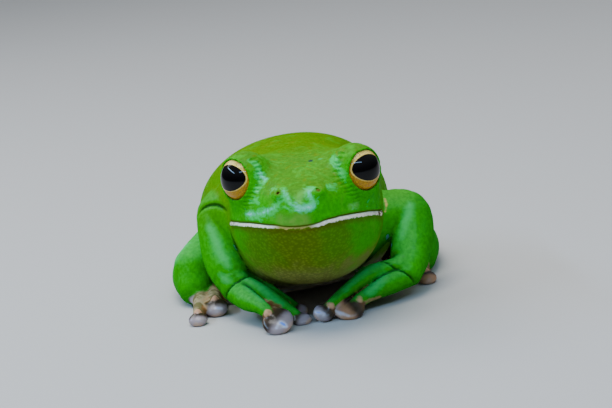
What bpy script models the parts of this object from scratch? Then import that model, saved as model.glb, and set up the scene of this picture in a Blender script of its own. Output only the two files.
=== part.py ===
"""Green tree frog, life size, sitting with its head up and its hands turned in under the chin.

The frog faces -Y and +Z is up, so its right side is at -X. Lengths are in millimetres, and every mesh is
made in metres. Head and torso are one skin parted by a thin cut. Each limb is one skin parted at its
joints, and it stops a thin gap short of whatever it folds against.
"""

import math
from collections import namedtuple

import bmesh
import bpy
from mathutils import Matrix, Vector

MM = 0.001
GAP = 0.3

# Eyes. Y counts from the plane of the eyes' openings, and Z from the floor.
EYE_RADIUS = 5.7
EYE_CENTRE = Vector((13.35, 1.8, 38.3))
EYE_TURNED_OUT = 44.0
EYE_TURNED_UP = 5.0
EYE_OPENING_WIDTH = 10.4
EYE_OPENING_HEIGHT = 9.7
SOCKET_CLEARANCE = 0.25
LID_THICKNESS = 0.5

# Nostrils, ears and mouth, on the level and straight head.
NOSTRIL = Vector((4.5, -10.9, 36.9))
NOSTRIL_RADII = (0.55, 0.8, 0.42)
MOUTH_GROOVE = 0.4
MOUTH_GROOVE_DEPTH = 0.8
LIP_RADIUS = 0.75
LID_INSET = 0.35
BROW = Vector((11.2, 6.4, 36.0))
BROW_RADII = (7.9, 11.0, 6.8)
EAR_FOLD = ((14.6, 8.0, 37.2, 1.2), (16.8, 12.0, 35.8, 1.1), (17.7, 16.0, 33.6, 1.1), (17.2, 19.4, 30.6, 1.0))

# The head is held almost level, turned and moved a little to one side.
HEAD_PIVOT = Vector((0.0, 14.0, 30.0))
HEAD_YAW = -4.0
HEAD_ROLL = 1.8
HEAD_SHIFT = 1.6
NECK_LEAN = 12.0

# Cross-sections from front to back. The head's widest line, at this height, is the line of its mouth.
Section = namedtuple("Section", "y centre half_width top bottom widest")
HEAD_ROUNDNESS = 2.9
THROAT_ROUNDNESS = 2.15
BACK_ROUNDNESS = 2.15
BELLY_ROUNDNESS = 3.6
HEAD_SECTIONS = (
    Section(-14.3, 0.0, 0.4, 33.0, 31.6, 32.2),
    Section(-13.9, 0.0, 3.2, 35.0, 29.4, 30.7),
    Section(-13.1, 0.0, 5.0, 36.1, 27.7, 29.0),
    Section(-12.0, 0.0, 6.6, 37.2, 26.0, 29.3),
    Section(-10.0, 0.0, 8.8, 38.2, 23.2, 29.2),
    Section(-6.0, 0.0, 11.9, 39.2, 18.2, 28.9),
    Section(-2.0, 0.0, 14.3, 40.0, 14.2, 28.5),
    Section(3.0, 0.0, 16.7, 40.9, 11.2, 27.9),
    Section(9.0, 0.0, 18.5, 41.6, 8.9, 26.9),
    Section(16.0, 0.0, 18.8, 42.0, 7.9, 25.9),
    Section(23.0, 0.0, 15.5, 40.5, 10.4, 26.0),
)
TORSO_SECTIONS = (
    Section(4.0, 1.4, 7.0, 35.0, 20.0, 28.0),
    Section(8.0, 1.2, 12.5, 39.6, 12.6, 29.0),
    Section(14.0, 0.8, 15.8, 41.9, 8.2, 29.0),
    Section(20.0, 0.0, 17.8, 42.5, 5.9, 28.6),
    Section(27.0, -1.0, 20.6, 42.6, 3.2, 26.4),
    Section(34.0, -1.6, 23.2, 42.2, 1.4, 23.4),
    Section(42.0, -1.8, 24.8, 40.6, 0.1, 20.6),
    Section(50.0, -1.6, 23.8, 37.4, 0.0, 18.4),
    Section(58.0, -1.2, 20.4, 32.8, 0.8, 17.0),
    Section(65.0, -0.8, 14.8, 27.0, 2.6, 15.2),
    Section(70.0, -0.6, 8.6, 21.6, 6.4, 14.2),
    Section(72.6, -0.6, 0.6, 15.2, 13.4, 14.3),
)
TORSO_ROLL = -5.0
LAST_MOUTH_SECTION = 8

# A limb's points are (x, y, z, radius), from its root to its end.
RIGHT_ARM = (
    (-12.0, 19.0, 21.0, 5.2),
    (-17.6, 24.4, 25.0, 5.3),
    (-21.0, 26.6, 25.4, 5.0),
    (-21.2, 23.6, 19.6, 5.0),
    (-20.2, 20.2, 13.4, 5.0),
    (-18.2, 17.6, 9.2, 4.2),
)
LEFT_ARM = (
    (11.0, 22.4, 15.4, 6.8),
    (19.8, 26.8, 19.4, 6.2),
    (26.6, 27.4, 19.6, 5.5),
    (27.1, 24.6, 14.7, 5.5),
    (25.6, 20.4, 9.6, 4.9),
    (24.0, 17.6, 7.4, 4.2),
)
ELBOW = 2

# A digit's last point is the centre of its disc, and tilt is how far the disc's face leans forward.
Digit = namedtuple("Digit", "points disc_radius tilt")
RIGHT_FINGERS = (
    Digit(((-16.4, 18.4, 8.0, 2.6), (-12.0, 18.6, 5.0, 1.8), (-8.8, 18.0, 2.8, 1.4), (-6.6, 17.6, 1.6)), 2.1, 8),
    Digit(((-15.6, 16.6, 8.8, 3.0), (-9.8, 14.0, 6.6, 1.9), (-5.6, 12.4, 4.0, 1.4), (-3.3, 11.6, 1.9)), 2.3, 14),
    Digit(((-16.2, 16.0, 8.8, 3.3), (-11.0, 11.6, 6.9, 2.2), (-6.6, 8.2, 4.2, 1.5), (-2.9, 5.4, 1.3)), 2.5, 10),
    Digit(((-18.2, 16.8, 8.0, 3.6), (-15.6, 10.4, 6.6, 2.7), (-12.4, 5.0, 5.9, 1.8), (-8.7, 0.5, 3.1)), 3.9, 40),
)
LEFT_FINGERS = (
    Digit(((22.2, 19.0, 7.2, 2.6), (18.0, 19.8, 4.8, 1.8), (14.2, 19.4, 2.8, 1.4), (12.0, 19.0, 1.6)), 2.1, 8),
    Digit(((21.4, 17.0, 8.2, 3.0), (14.2, 16.2, 7.8, 1.9), (9.6, 14.4, 4.8, 1.4), (7.0, 12.8, 1.9)), 2.3, 14),
    Digit(((22.0, 16.4, 8.2, 3.3), (15.2, 13.4, 8.2, 2.3), (9.0, 9.6, 6.2, 1.7), (2.6, 5.2, 2.5)), 2.7, 34),
    Digit(((24.4, 17.0, 6.8, 3.6), (19.4, 12.6, 5.8, 2.8), (14.2, 9.4, 4.6, 1.9), (8.8, 6.2, 2.5)), 4.0, 27),
)

RIGHT_THIGH = (
    (-5.0, 59.0, 15.0, 8.0),
    (-16.6, 54.0, 13.2, 8.0),
    (-25.0, 45.0, 10.8, 6.3),
    (-29.4, 37.2, 10.0, 4.9),
)
RIGHT_SHANK = (
    (-29.6, 34.6, 4.8, 4.3),
    (-30.8, 43.0, 5.8, 4.7),
    (-29.8, 54.0, 6.4, 4.6),
    (-25.8, 65.0, 6.4, 3.6),
    (-22.6, 71.6, 5.6, 3.0),
)
RIGHT_TARSUS = ((-22.4, 72.0, 3.2, 2.9), (-24.4, 62.0, 2.5, 2.4), (-26.6, 52.0, 2.4, 2.4), (-27.4, 44.0, 2.6, 2.6))
RIGHT_TOES = (
    Digit(((-25.6, 45.0, 2.4, 1.7), (-22.6, 41.6, 2.2, 1.3), (-20.4, 38.8, 1.3)), 1.6, 6),
    Digit(((-26.2, 44.0, 2.4, 1.9), (-22.6, 37.0, 2.3, 1.3), (-20.6, 31.2, 1.4)), 1.9, 8),
    Digit(((-26.8, 43.0, 2.6, 2.2), (-25.0, 34.0, 3.0, 2.0), (-24.4, 27.6, 3.2, 1.8), (-24.0, 21.8, 2.4)), 3.0, 32),
    Digit(((-27.6, 43.0, 2.6, 2.3), (-28.0, 33.0, 3.0, 1.9), (-28.4, 23.0, 2.8, 1.5), (-28.6, 15.0, 1.8)), 2.4, 22),
    Digit(((-28.2, 43.6, 2.6, 1.9), (-29.2, 37.0, 2.8, 1.4), (-29.0, 31.2, 2.6)), 1.9, 14),
)
LEFT_LEG_SHIFT = Vector((-0.5, 3.6, 0.0))
LEFT_FOOT_REACH = 0.84
LEFT_FOOT_ARCH = 2.0
LEFT_FOOT_OUT = 1.8
HEEL_Y = 72.0

DISC_THICKNESS = 1.3
KNUCKLE_RADIUS = 0.85
FINGER_WEB_THICKNESS = 1.1
TOE_WEB_THICKNESS = 1.7
FINGER_WEB_REACH = 0.66
TOE_WEB_REACH = 0.84

# How far the frog is let down into the floor, which leaves small flats where it touches.
FLOOR_PRESS = 0.5

# Voxels of the skins, and the triangles that they are thinned to.
TRUNK_VOXEL = 0.5
LIMB_VOXEL = 0.45
SMOOTHING = 0.5
FORM_SMOOTHING = 24
CREASE_ANGLE = 40.0
TRUNK_TRIANGLES = 5400
TORSO_TRIANGLES = 1700
ARM_TRIANGLES = 1800
FOOT_TRIANGLES = 1200
THIGH_TRIANGLES = 340
SHANK_TRIANGLES = 340
RING_SIDES = 48

SKIN_GREEN = (0.10, 0.42, 0.02)
FOOT_GREEN = (0.16, 0.36, 0.06)
IRIS_GOLD = (0.60, 0.34, 0.06)


def clear_scene():
    """Empties the scene of every object."""
    for obj in list(bpy.data.objects):
        bpy.data.objects.remove(obj)


def finish(obj, name, colour, roughness):
    """Names the object, and gives it a smooth Principled material of its own."""
    obj.name = name
    material = bpy.data.materials.new(f"{name}_skin")
    material.use_nodes = True
    shader = material.node_tree.nodes["Principled BSDF"]
    shader.inputs["Base Color"].default_value = (*colour, 1.0)
    shader.inputs["Roughness"].default_value = roughness
    obj.data.materials.clear()
    obj.data.materials.append(material)
    for polygon in obj.data.polygons:
        polygon.use_smooth = True
    obj.data.set_sharp_from_angle(angle=math.radians(CREASE_ANGLE))
    return obj


def object_of(name, shape):
    """A new object in the scene that holds the bmesh, which is freed."""
    mesh = bpy.data.meshes.new(name)
    shape.to_mesh(mesh)
    shape.free()
    obj = bpy.data.objects.new(name, mesh)
    bpy.context.scene.collection.objects.link(obj)
    return obj


def curve_at(rows, share):
    """The numbers at a share from 0 to 1 along rows of numbers, on a smooth curve through them."""
    place = share * (len(rows) - 1)
    i = min(int(place), len(rows) - 2)
    t = place - i
    before, near, far, after = (rows[max(0, min(len(rows) - 1, i + k))] for k in (-1, 0, 1, 2))
    result = []
    for p, q, r, s in zip(before, near, far, after):
        slope, bend, twist = r - p, 2 * p - 5 * q + 4 * r - s, 3 * q - p - 3 * r + s
        result.append(0.5 * (2 * q + slope * t + bend * t * t + twist * t**3))
    return result


def bridged(name, rings):
    """A closed mesh through rings of points, with a fan of triangles over each end."""
    shape = bmesh.new()
    loops = [[shape.verts.new(Vector(point) * MM) for point in ring] for ring in rings]
    for near, far in zip(loops, loops[1:]):
        for i in range(len(near)):
            j = (i + 1) % len(near)
            shape.faces.new((near[i], near[j], far[j], far[i]))
    for loop in (loops[0], loops[-1]):
        middle = shape.verts.new(sum((v.co for v in loop), Vector()) / len(loop))
        for i in range(len(loop)):
            shape.faces.new((loop[i], loop[(i + 1) % len(loop)], middle))
    bmesh.ops.recalc_face_normals(shape, faces=shape.faces)
    return object_of(name, shape)


def section_ring(section, top_roundness, bottom_roundness):
    """The points round one cross-section: two half superellipses that meet at its widest line."""
    y, centre, half_width, top, bottom, widest = section
    ring = []
    for i in range(RING_SIDES):
        angle = 2 * math.pi * i / RING_SIDES
        across, up = math.cos(angle), math.sin(angle)
        power = 2 / (top_roundness if up >= 0 else bottom_roundness)
        height = top - widest if up >= 0 else widest - bottom
        x = centre + math.copysign(abs(across) ** power, across) * half_width
        ring.append((x, y, widest + math.copysign(abs(up) ** power, up) * height))
    return ring


def loft(name, sections, top_roundness, bottom_roundness):
    """A closed body through the cross-sections, smooth between them."""
    steps = 5 * (len(sections) - 1)
    rows = [curve_at(sections, i / steps) for i in range(steps + 1)]
    return bridged(name, [section_ring(row, top_roundness, bottom_roundness) for row in rows])


def tube(name, points, sides=16):
    """A round limb along a smooth curve through (x, y, z, radius) points, with rounded ends."""
    steps = 6 * (len(points) - 1)
    rows = [curve_at(points, i / steps) for i in range(steps + 1)]
    path = [Vector(row[:3]) for row in rows]
    side = None
    rings = []
    for i, row in enumerate(rows):
        along = (path[min(i + 1, steps)] - path[max(i - 1, 0)]).normalized()
        side = along.orthogonal() if side is None else side - along * side.dot(along)
        side.normalize()
        other = along.cross(side)
        shares = [(0.0, 1.0)]
        if i == 0:
            shares = [(-0.9, 0.35), (-0.55, 0.8), (0.0, 1.0)]
        elif i == steps:
            shares = [(0.0, 1.0), (0.55, 0.8), (0.9, 0.35)]
        for shift, share in shares:
            centre = path[i] + along * shift * row[3]
            turns = [2 * math.pi * k / sides for k in range(sides)]
            rings.append([centre + (side * math.cos(a) + other * math.sin(a)) * row[3] * share for a in turns])
    return bridged(name, rings)


def ellipsoid(name, centre, radii, turn=None, subdivisions=4):
    """A closed ellipsoid, its radii along X, Y and Z before the turn."""
    shape = bmesh.new()
    bmesh.ops.create_icosphere(shape, subdivisions=subdivisions, radius=1.0)
    turned = turn.to_4x4() if turn else Matrix()
    placed = Matrix.Translation(centre) @ turned @ Matrix.Diagonal((*radii, 1.0))
    bmesh.ops.transform(shape, matrix=Matrix.Scale(MM, 4) @ placed, verts=shape.verts)
    return object_of(name, shape)


def frame_along(axis):
    """A rotation whose Z is the axis and whose X is as level as can be."""
    axis = Vector(axis).normalized()
    across = Vector((0, 0, 1)).cross(axis)
    across = across.normalized() if across.length > 1e-6 else Vector((1, 0, 0))
    return Matrix((across, axis.cross(across), axis)).transposed()


def cylinder(name, centre, axis, width, height, length, sides=40):
    """A closed oval cylinder that runs from the centre along the axis."""
    shape = bmesh.new()
    bmesh.ops.create_cone(shape, cap_ends=True, segments=sides, radius1=0.5, radius2=0.5, depth=length)
    placed = Matrix.Translation(Vector(centre)) @ frame_along(axis).to_4x4()
    placed = placed @ Matrix.Translation((0, 0, length / 2)) @ Matrix.Diagonal((width, height, 1.0, 1.0))
    bmesh.ops.transform(shape, matrix=Matrix.Scale(MM, 4) @ placed, verts=shape.verts)
    return object_of(name, shape)


def slab(name, centre, normal, size, thickness):
    """A thin square plate round the centre, across the normal."""
    shape = bmesh.new()
    bmesh.ops.create_cube(shape, size=1.0)
    placed = Matrix.Translation(Vector(centre)) @ frame_along(normal).to_4x4()
    placed = placed @ Matrix.Diagonal((size, size, thickness, 1.0))
    bmesh.ops.transform(shape, matrix=Matrix.Scale(MM, 4) @ placed, verts=shape.verts)
    return object_of(name, shape)


def baked(obj):
    """Applies the object's modifiers to its mesh."""
    graph = bpy.context.evaluated_depsgraph_get()
    mesh = bpy.data.meshes.new_from_object(obj.evaluated_get(graph))
    obj.modifiers.clear()
    obj.data = mesh
    return obj


def copied(obj):
    """A separate copy of the object."""
    twin = bpy.data.objects.new(obj.name, obj.data.copy())
    bpy.context.scene.collection.objects.link(twin)
    return twin


def joined(name, pieces):
    """The pieces as one object, still overlapping."""
    shape = bmesh.new()
    for piece in pieces:
        shape.from_mesh(piece.data)
        bpy.data.objects.remove(piece)
    return object_of(name, shape)


def thinned(obj, triangles):
    """The object with its mesh thinned to about this many triangles."""
    now = sum(len(polygon.vertices) - 2 for polygon in obj.data.polygons)
    thin = obj.modifiers.new("Thin", "DECIMATE")
    thin.ratio = min(1.0, triangles / now)
    thin.use_collapse_triangulate = True
    return baked(obj)


def skinned(name, pieces, voxel, smooth_steps, triangles):
    """One smooth closed skin over overlapping pieces, thinned to about this many triangles."""
    obj = joined(name, pieces)
    remesh = obj.modifiers.new("Skin", "REMESH")
    remesh.mode = "VOXEL"
    remesh.voxel_size = voxel * MM
    soften = obj.modifiers.new("Soften", "SMOOTH")
    soften.factor = SMOOTHING
    soften.iterations = smooth_steps
    return thinned(baked(obj), triangles)


def swollen(obj, amount):
    """A copy of the object, grown outwards by the amount."""
    twin = copied(obj)
    shape = bmesh.new()
    shape.from_mesh(twin.data)
    shape.normal_update()
    for vert in shape.verts:
        vert.co += vert.normal * amount * MM
    shape.to_mesh(twin.data)
    shape.free()
    return twin


def cut(obj, cutter):
    """Takes the cutter away from the object, and removes the cutter."""
    boolean = obj.modifiers.new("Cut", "BOOLEAN")
    boolean.operation = "DIFFERENCE"
    boolean.solver = "EXACT"
    boolean.object = cutter
    cutter.hide_render = True
    cutter.display_type = "WIRE"
    baked(obj)
    bpy.data.objects.remove(cutter)
    return obj


def shells(obj):
    """The object's separate closed surfaces as objects, the largest first. The object is removed."""
    shape = bmesh.new()
    shape.from_mesh(obj.data)
    groups = []
    left = set(shape.faces)
    while left:
        front = [left.pop()]
        group = list(front)
        while front:
            face = front.pop()
            for edge in face.edges:
                for other in edge.link_faces:
                    if other in left:
                        left.remove(other)
                        group.append(other)
                        front.append(other)
        groups.append(group)
    groups.sort(key=lambda faces: -sum(f.calc_area() for f in faces))
    found = []
    for group in groups:
        single = bmesh.new()
        twins = {}
        for face in group:
            for vert in face.verts:
                if vert not in twins:
                    twins[vert] = single.verts.new(vert.co)
            single.faces.new([twins[vert] for vert in face.verts])
        found.append(object_of(obj.name, single))
    shape.free()
    bpy.data.objects.remove(obj)
    return found


def largest(obj):
    """The object's largest closed surface alone."""
    kept, *rest = shells(obj)
    for scrap in rest:
        bpy.data.objects.remove(scrap)
    return kept


def middle_of(obj):
    """The mean of the object's points, in millimetres."""
    return sum((v.co for v in obj.data.vertices), Vector()) / len(obj.data.vertices) / MM


def nearest(pieces, point):
    """The piece whose middle lies nearest the point, taken out of the list."""
    best = min(pieces, key=lambda piece: (middle_of(piece) - Vector(point)).length)
    pieces.remove(best)
    return best


def mirrored(obj):
    """Turns the object into its mirror image across X = 0."""
    obj.data.transform(Matrix.Diagonal((-1, 1, 1, 1)))
    obj.data.flip_normals()
    return obj


def head_pose():
    """The matrix that turns the level, straight head into its pose, in millimetres."""
    turn = Matrix.Rotation(math.radians(HEAD_YAW), 4, "Z") @ Matrix.Rotation(math.radians(HEAD_ROLL), 4, "Y")
    shift = Matrix.Translation((HEAD_SHIFT, 0, 0))
    return shift @ Matrix.Translation(HEAD_PIVOT) @ turn @ Matrix.Translation(-HEAD_PIVOT)


def posed(obj):
    """Turns a piece of the straight head into the head's pose."""
    pose = head_pose()
    pose.translation *= MM
    obj.data.transform(pose)
    return obj


def eye_axis(side):
    """The way that an eye looks, on the straight head."""
    out, up = math.radians(EYE_TURNED_OUT), math.radians(EYE_TURNED_UP)
    return Vector((side * math.sin(out) * math.cos(up), -math.cos(out) * math.cos(up), math.sin(up)))


def eye_centre(side):
    """The centre of an eyeball, on the straight head."""
    return Vector((side * EYE_CENTRE.x, EYE_CENTRE.y, EYE_CENTRE.z))


def mouth_line(inset, drop=0.0):
    """Points along the mouth from corner to corner, moved in from the lips and down."""
    rows = HEAD_SECTIONS[2 : LAST_MOUTH_SECTION + 1]
    steps = 18
    half = []
    for i in range(steps + 1):
        y, _, half_width, _, _, widest = curve_at(rows, i / steps)
        out = Vector((half_width, (y - HEAD_PIVOT.y) * 0.7, 0)).normalized()
        half.append(Vector((half_width, y, widest - drop)) - out * inset)
    front = half[0]
    across = [Vector((front.x * k / 4, front.y - 0.5 * (1 - (k / 4) ** 2), front.z)) for k in range(-3, 4)]
    line = [Vector((-p.x, p.y, p.z)) for p in reversed(half)] + across + half
    for _ in range(4):
        inner = [(a + 2 * b + c) / 4 for a, b, c in zip(line, line[1:], line[2:])]
        line = [line[0], *inner, line[-1]]
    return line


def ribbon(name, inner, outer, thickness):
    """A thin closed band between two lines of points, level across."""
    half = Vector((0, 0, thickness / 2))
    return bridged(name, [[a - half, b - half, b + half, a + half] for a, b in zip(inner, outer)])


def trunk():
    """Head and torso as one skin, with eye mounds, lower lip and ear folds."""
    skull = [loft("skull", HEAD_SECTIONS, HEAD_ROUNDNESS, THROAT_ROUNDNESS)]
    mound = EYE_RADIUS + SOCKET_CLEARANCE + LID_THICKNESS
    details = []
    for side in (-1, 1):
        brow = Vector((side * BROW.x, BROW.y, BROW.z))
        skull.append(ellipsoid("brow", brow, BROW_RADII))
        lid = eye_centre(side) - Vector((side * LID_INSET, 0, 0))
        details.append(ellipsoid("mound", lid, (mound, mound, mound)))
        nostril = Vector((side * NOSTRIL.x, NOSTRIL.y + 0.5, NOSTRIL.z - 0.6))
        details.append(ellipsoid("nostril_mound", nostril, (1.5, 1.8, 1.2)))
        details.append(tube("ear_fold", [(side * x, y, z, r) for x, y, z, r in EAR_FOLD], sides=10))
    lip = mouth_line(LIP_RADIUS * 0.55, MOUTH_GROOVE / 2 + LIP_RADIUS)
    details.append(tube("lip", [(*p, LIP_RADIUS) for p in lip[::2]], sides=10))
    body = loft("body", TORSO_SECTIONS, BACK_ROUNDNESS, BELLY_ROUNDNESS)
    middle = Matrix.Translation(Vector((0, 0, 22.0)) * MM)
    body.data.transform(middle @ Matrix.Rotation(math.radians(TORSO_ROLL), 4, "Y") @ middle.inverted())
    form = skinned("form", [*(posed(piece) for piece in skull), body], TRUNK_VOXEL, FORM_SMOOTHING, 60000)
    return skinned("trunk", [form, *(posed(piece) for piece in details)], TRUNK_VOXEL, 3, TRUNK_TRIANGLES)


def head_and_torso():
    """The trunk's two nodes, parted by a thin leaning cut behind the jaw."""
    whole = trunk()
    lean = math.radians(NECK_LEAN)
    normal = Vector((0, math.cos(lean), -math.sin(lean)))
    cut(whole, slab("neck", (0, 20.0, 26.0), normal, 90.0, GAP))
    pieces = shells(whole)
    head = nearest(pieces, (0, 0, 28))
    torso = nearest(pieces, (0, 45, 22))
    for scrap in pieces:
        bpy.data.objects.remove(scrap)
    for side in (-1, 1):
        centre = eye_centre(side)
        axis = eye_axis(side)
        socket = EYE_RADIUS + SOCKET_CLEARANCE
        cut(head, posed(ellipsoid("socket", centre, (socket, socket, socket), None, 3)))
        depth = math.sqrt(EYE_RADIUS**2 - (EYE_OPENING_WIDTH / 2) ** 2)
        opening = cylinder("opening", centre + axis * depth, axis, EYE_OPENING_WIDTH, EYE_OPENING_HEIGHT, 6.0)
        cut(head, posed(opening))
        at = Vector((side * NOSTRIL.x, NOSTRIL.y - 0.3, NOSTRIL.z))
        turn = Matrix.Rotation(math.radians(side * 35), 3, "Z")
        cut(head, posed(ellipsoid("nostril", at, NOSTRIL_RADII, turn, 2)))
    groove = ribbon("mouth", mouth_line(MOUTH_GROOVE_DEPTH), mouth_line(-3.0), MOUTH_GROOVE)
    cut(head, posed(groove))
    return largest(head), thinned(largest(torso), TORSO_TRIANGLES)


def eyeball(side):
    """One eyeball, in its socket."""
    shape = bmesh.new()
    bmesh.ops.create_uvsphere(shape, u_segments=22, v_segments=14, radius=EYE_RADIUS * MM)
    placed = frame_along(eye_axis(side)).to_4x4()
    placed.translation = eye_centre(side) * MM
    bmesh.ops.transform(shape, matrix=placed, verts=shape.verts)
    return posed(object_of("eye", shape))


def digit_pieces(digit):
    """The tube of a finger or toe, with the disc and the small knuckle at its end."""
    *shaft, last = digit.points
    end = Vector(last)
    along = (end - Vector(shaft[-1][:3])).normalized()
    neck = end - along * digit.disc_radius * 0.4
    level = Vector((along.x, along.y, 0)).normalized()
    normal = Matrix.Rotation(math.radians(digit.tilt), 3, "X") @ Vector((0, 0, 1))
    length = (level - normal * level.dot(normal)).normalized()
    turn = Matrix((length, normal.cross(length), normal)).transposed()
    knuckle = end - length * digit.disc_radius * 0.75 + normal * DISC_THICKNESS * 0.75
    return [
        tube("digit", [*shaft, (*neck, shaft[-1][3] * 0.85)], sides=12),
        ellipsoid("disc", end, (digit.disc_radius * 0.95, digit.disc_radius, DISC_THICKNESS), turn, 3),
        ellipsoid("knuckle", knuckle, (KNUCKLE_RADIUS,) * 3, None, 2),
    ]


def web(first, second, reach, thickness):
    """The thin skin between neighbouring digits, out to a share of their length."""
    steps = 6
    half = Vector((0, 0, thickness / 2))
    paths = [[point[:3] for point in digit.points] for digit in (first, second)]
    rings = []
    for i in range(steps + 1):
        a, b = (Vector(curve_at(path, reach * i / steps)) for path in paths)
        mid = (a + b) / 2
        rings.append([a - half, mid - half, b - half, b + half, mid + half, a + half])
    return bridged("web", rings)


def fan(digits, web_reach, web_thickness):
    """All the digits of one hand or foot, with their webs."""
    pieces = [piece for digit in digits for piece in digit_pieces(digit)]
    return pieces + [web(a, b, web_reach, web_thickness) for a, b in zip(digits, digits[1:])]


def arm_nodes(points, fingers, obstacles):
    """Upper arm, forearm and hand of one side, clear of the obstacles."""
    hand_pieces = fan(fingers, FINGER_WEB_REACH, FINGER_WEB_THICKNESS)
    arm = skinned("arm", [tube("arm", points), *hand_pieces], LIMB_VOXEL, 4, ARM_TRIANGLES)
    for obstacle in obstacles:
        cut(arm, swollen(obstacle, GAP))
    elbow, wrist = Vector(points[ELBOW][:3]), Vector(points[-1][:3])
    upper = (elbow - Vector(points[ELBOW - 1][:3])).normalized()
    fore = (Vector(points[ELBOW + 1][:3]) - elbow).normalized()
    cut(arm, slab("elbow", elbow, upper + fore, 24.0, GAP))
    cut(arm, slab("wrist", wrist, wrist - Vector(points[-2][:3]), 13.0, GAP))
    pieces = shells(arm)
    hand = nearest(pieces, fingers[2].points[1][:3])
    forearm = nearest(pieces, points[ELBOW + 1][:3])
    upper_arm = nearest(pieces, points[ELBOW - 1][:3])
    for scrap in pieces:
        bpy.data.objects.remove(scrap)
    return upper_arm, forearm, hand


def leg_pieces(side):
    """Thigh, shank and foot skins of one side, still overlapping."""
    toes = RIGHT_TOES
    tarsus = RIGHT_TARSUS
    if side > 0:
        tarsus = [folded_point(p) for p in tarsus]
        toes = [Digit([folded_point(p) for p in toe.points], toe.disc_radius, toe.tilt) for toe in toes]
    toe_pieces = fan(toes, TOE_WEB_REACH, TOE_WEB_THICKNESS)
    skins = [
        skinned("thigh", [tube("thigh", RIGHT_THIGH)], LIMB_VOXEL, 4, THIGH_TRIANGLES),
        skinned("shank", [tube("shank", RIGHT_SHANK)], LIMB_VOXEL, 4, SHANK_TRIANGLES),
        skinned("foot", [tube("tarsus", tarsus), *toe_pieces], LIMB_VOXEL, 4, FOOT_TRIANGLES),
    ]
    if side > 0:
        for skin in skins:
            mirrored(skin).data.transform(Matrix.Translation(LEFT_LEG_SHIFT * MM))
    return skins


def folded_point(point):
    """A point of the foot, drawn back towards the heel, raised and turned out, as where the toes are bent."""
    x, y, z, *radius = point
    reach = HEEL_Y - y
    share = min(1.0, reach / (HEEL_Y - RIGHT_TOES[3].points[-1][1]))
    lift = LEFT_FOOT_ARCH * math.sin(math.pi * share)
    return (x - LEFT_FOOT_OUT * share, HEEL_Y - reach * LEFT_FOOT_REACH, z + lift, *radius)


def leg_nodes(side, torso):
    """Thigh, shank and foot of one side, each a gap short of what it folds against."""
    thigh, shank, foot = leg_pieces(side)
    cut(thigh, swollen(torso, GAP))
    thigh = largest(thigh)
    for obstacle in (torso, thigh):
        cut(shank, swollen(obstacle, GAP))
    shank = largest(shank)
    for obstacle in (torso, thigh, shank):
        cut(foot, swollen(obstacle, GAP))
    return thigh, shank, largest(foot)


def stand_on_floor(objects):
    """Cuts small flats where the frog touches the floor, and puts the origin at the base's centre."""
    for obj in objects:
        if min(v.co.z for v in obj.data.vertices) < FLOOR_PRESS * MM:
            floor = slab("floor", (0, 20, FLOOR_PRESS - 10.0), (0, 0, 1), 200.0, 20.0)
            cut(obj, floor)
    corners = [v.co for obj in objects for v in obj.data.vertices]
    middle = [(min(c[i] for c in corners) + max(c[i] for c in corners)) / 2 for i in (0, 1)]
    for obj in objects:
        obj.data.transform(Matrix.Translation((-middle[0], -middle[1], -FLOOR_PRESS * MM)))


def main():
    clear_scene()
    head, torso = head_and_torso()
    nodes = [finish(head, "head", SKIN_GREEN, 0.4), finish(torso, "torso", SKIN_GREEN, 0.4)]
    for side, name in ((-1, "right"), (1, "left")):
        nodes.append(finish(eyeball(side), f"eye_{name}", IRIS_GOLD, 0.1))
    for side, name, points, fingers in ((-1, "right", RIGHT_ARM, RIGHT_FINGERS), (1, "left", LEFT_ARM, LEFT_FINGERS)):
        arm = arm_nodes(points, fingers, (torso, head))
        for obj, part in zip(arm, ("upper_arm", "forearm", "hand")):
            nodes.append(finish(obj, f"{part}_{name}", SKIN_GREEN, 0.4))
        leg = leg_nodes(side, torso)
        for obj, part in zip(leg, ("thigh", "shank", "foot")):
            nodes.append(finish(obj, f"{part}_{name}", FOOT_GREEN if part == "foot" else SKIN_GREEN, 0.4))
    stand_on_floor(nodes)


main()
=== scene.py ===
"""A green tree frog, life size, sitting with its head up and its hands turned in under its chin.

The frog's skin is one closed surface. It is worked out as a field of distances, from the same landmarks as
the solids: two lofted trunks, chains of round beads for the limbs, and flat beads for the discs. The field
is blended where flesh runs on, creased where it folds, and then turned into a mesh. Signed distances to the
mouth, lids, discs and webs are stored on the mesh for the material, which draws its markings from them.

Lengths are in millimetres. Y counts from the plane of the eyes' openings, and Z from the lowest skin before
the frog is let down on its floor. The meshes are made in metres, in the frame of the solids.
"""

import itertools
import logging
import math
from collections.abc import Callable, Sequence
from dataclasses import dataclass, field
from enum import Enum, StrEnum, auto
from typing import Protocol

import bmesh
import bpy
import numpy as np
from mathutils import Matrix, Vector


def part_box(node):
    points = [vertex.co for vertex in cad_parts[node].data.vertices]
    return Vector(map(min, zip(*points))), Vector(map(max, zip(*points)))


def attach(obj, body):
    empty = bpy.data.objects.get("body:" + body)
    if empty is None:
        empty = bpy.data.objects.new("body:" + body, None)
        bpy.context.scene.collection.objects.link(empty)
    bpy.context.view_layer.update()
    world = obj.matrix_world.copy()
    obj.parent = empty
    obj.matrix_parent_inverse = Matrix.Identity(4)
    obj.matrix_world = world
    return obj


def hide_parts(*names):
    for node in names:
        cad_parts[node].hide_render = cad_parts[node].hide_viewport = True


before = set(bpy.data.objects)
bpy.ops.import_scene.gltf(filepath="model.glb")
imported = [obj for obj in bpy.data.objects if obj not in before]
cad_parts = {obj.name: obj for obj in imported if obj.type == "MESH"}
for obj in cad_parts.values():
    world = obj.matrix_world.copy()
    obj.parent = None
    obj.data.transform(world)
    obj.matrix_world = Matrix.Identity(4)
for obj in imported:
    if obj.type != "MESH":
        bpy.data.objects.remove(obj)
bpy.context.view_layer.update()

logging.basicConfig(level=logging.INFO, format="%(message)s")
log = logging.getLogger("frog")

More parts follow.
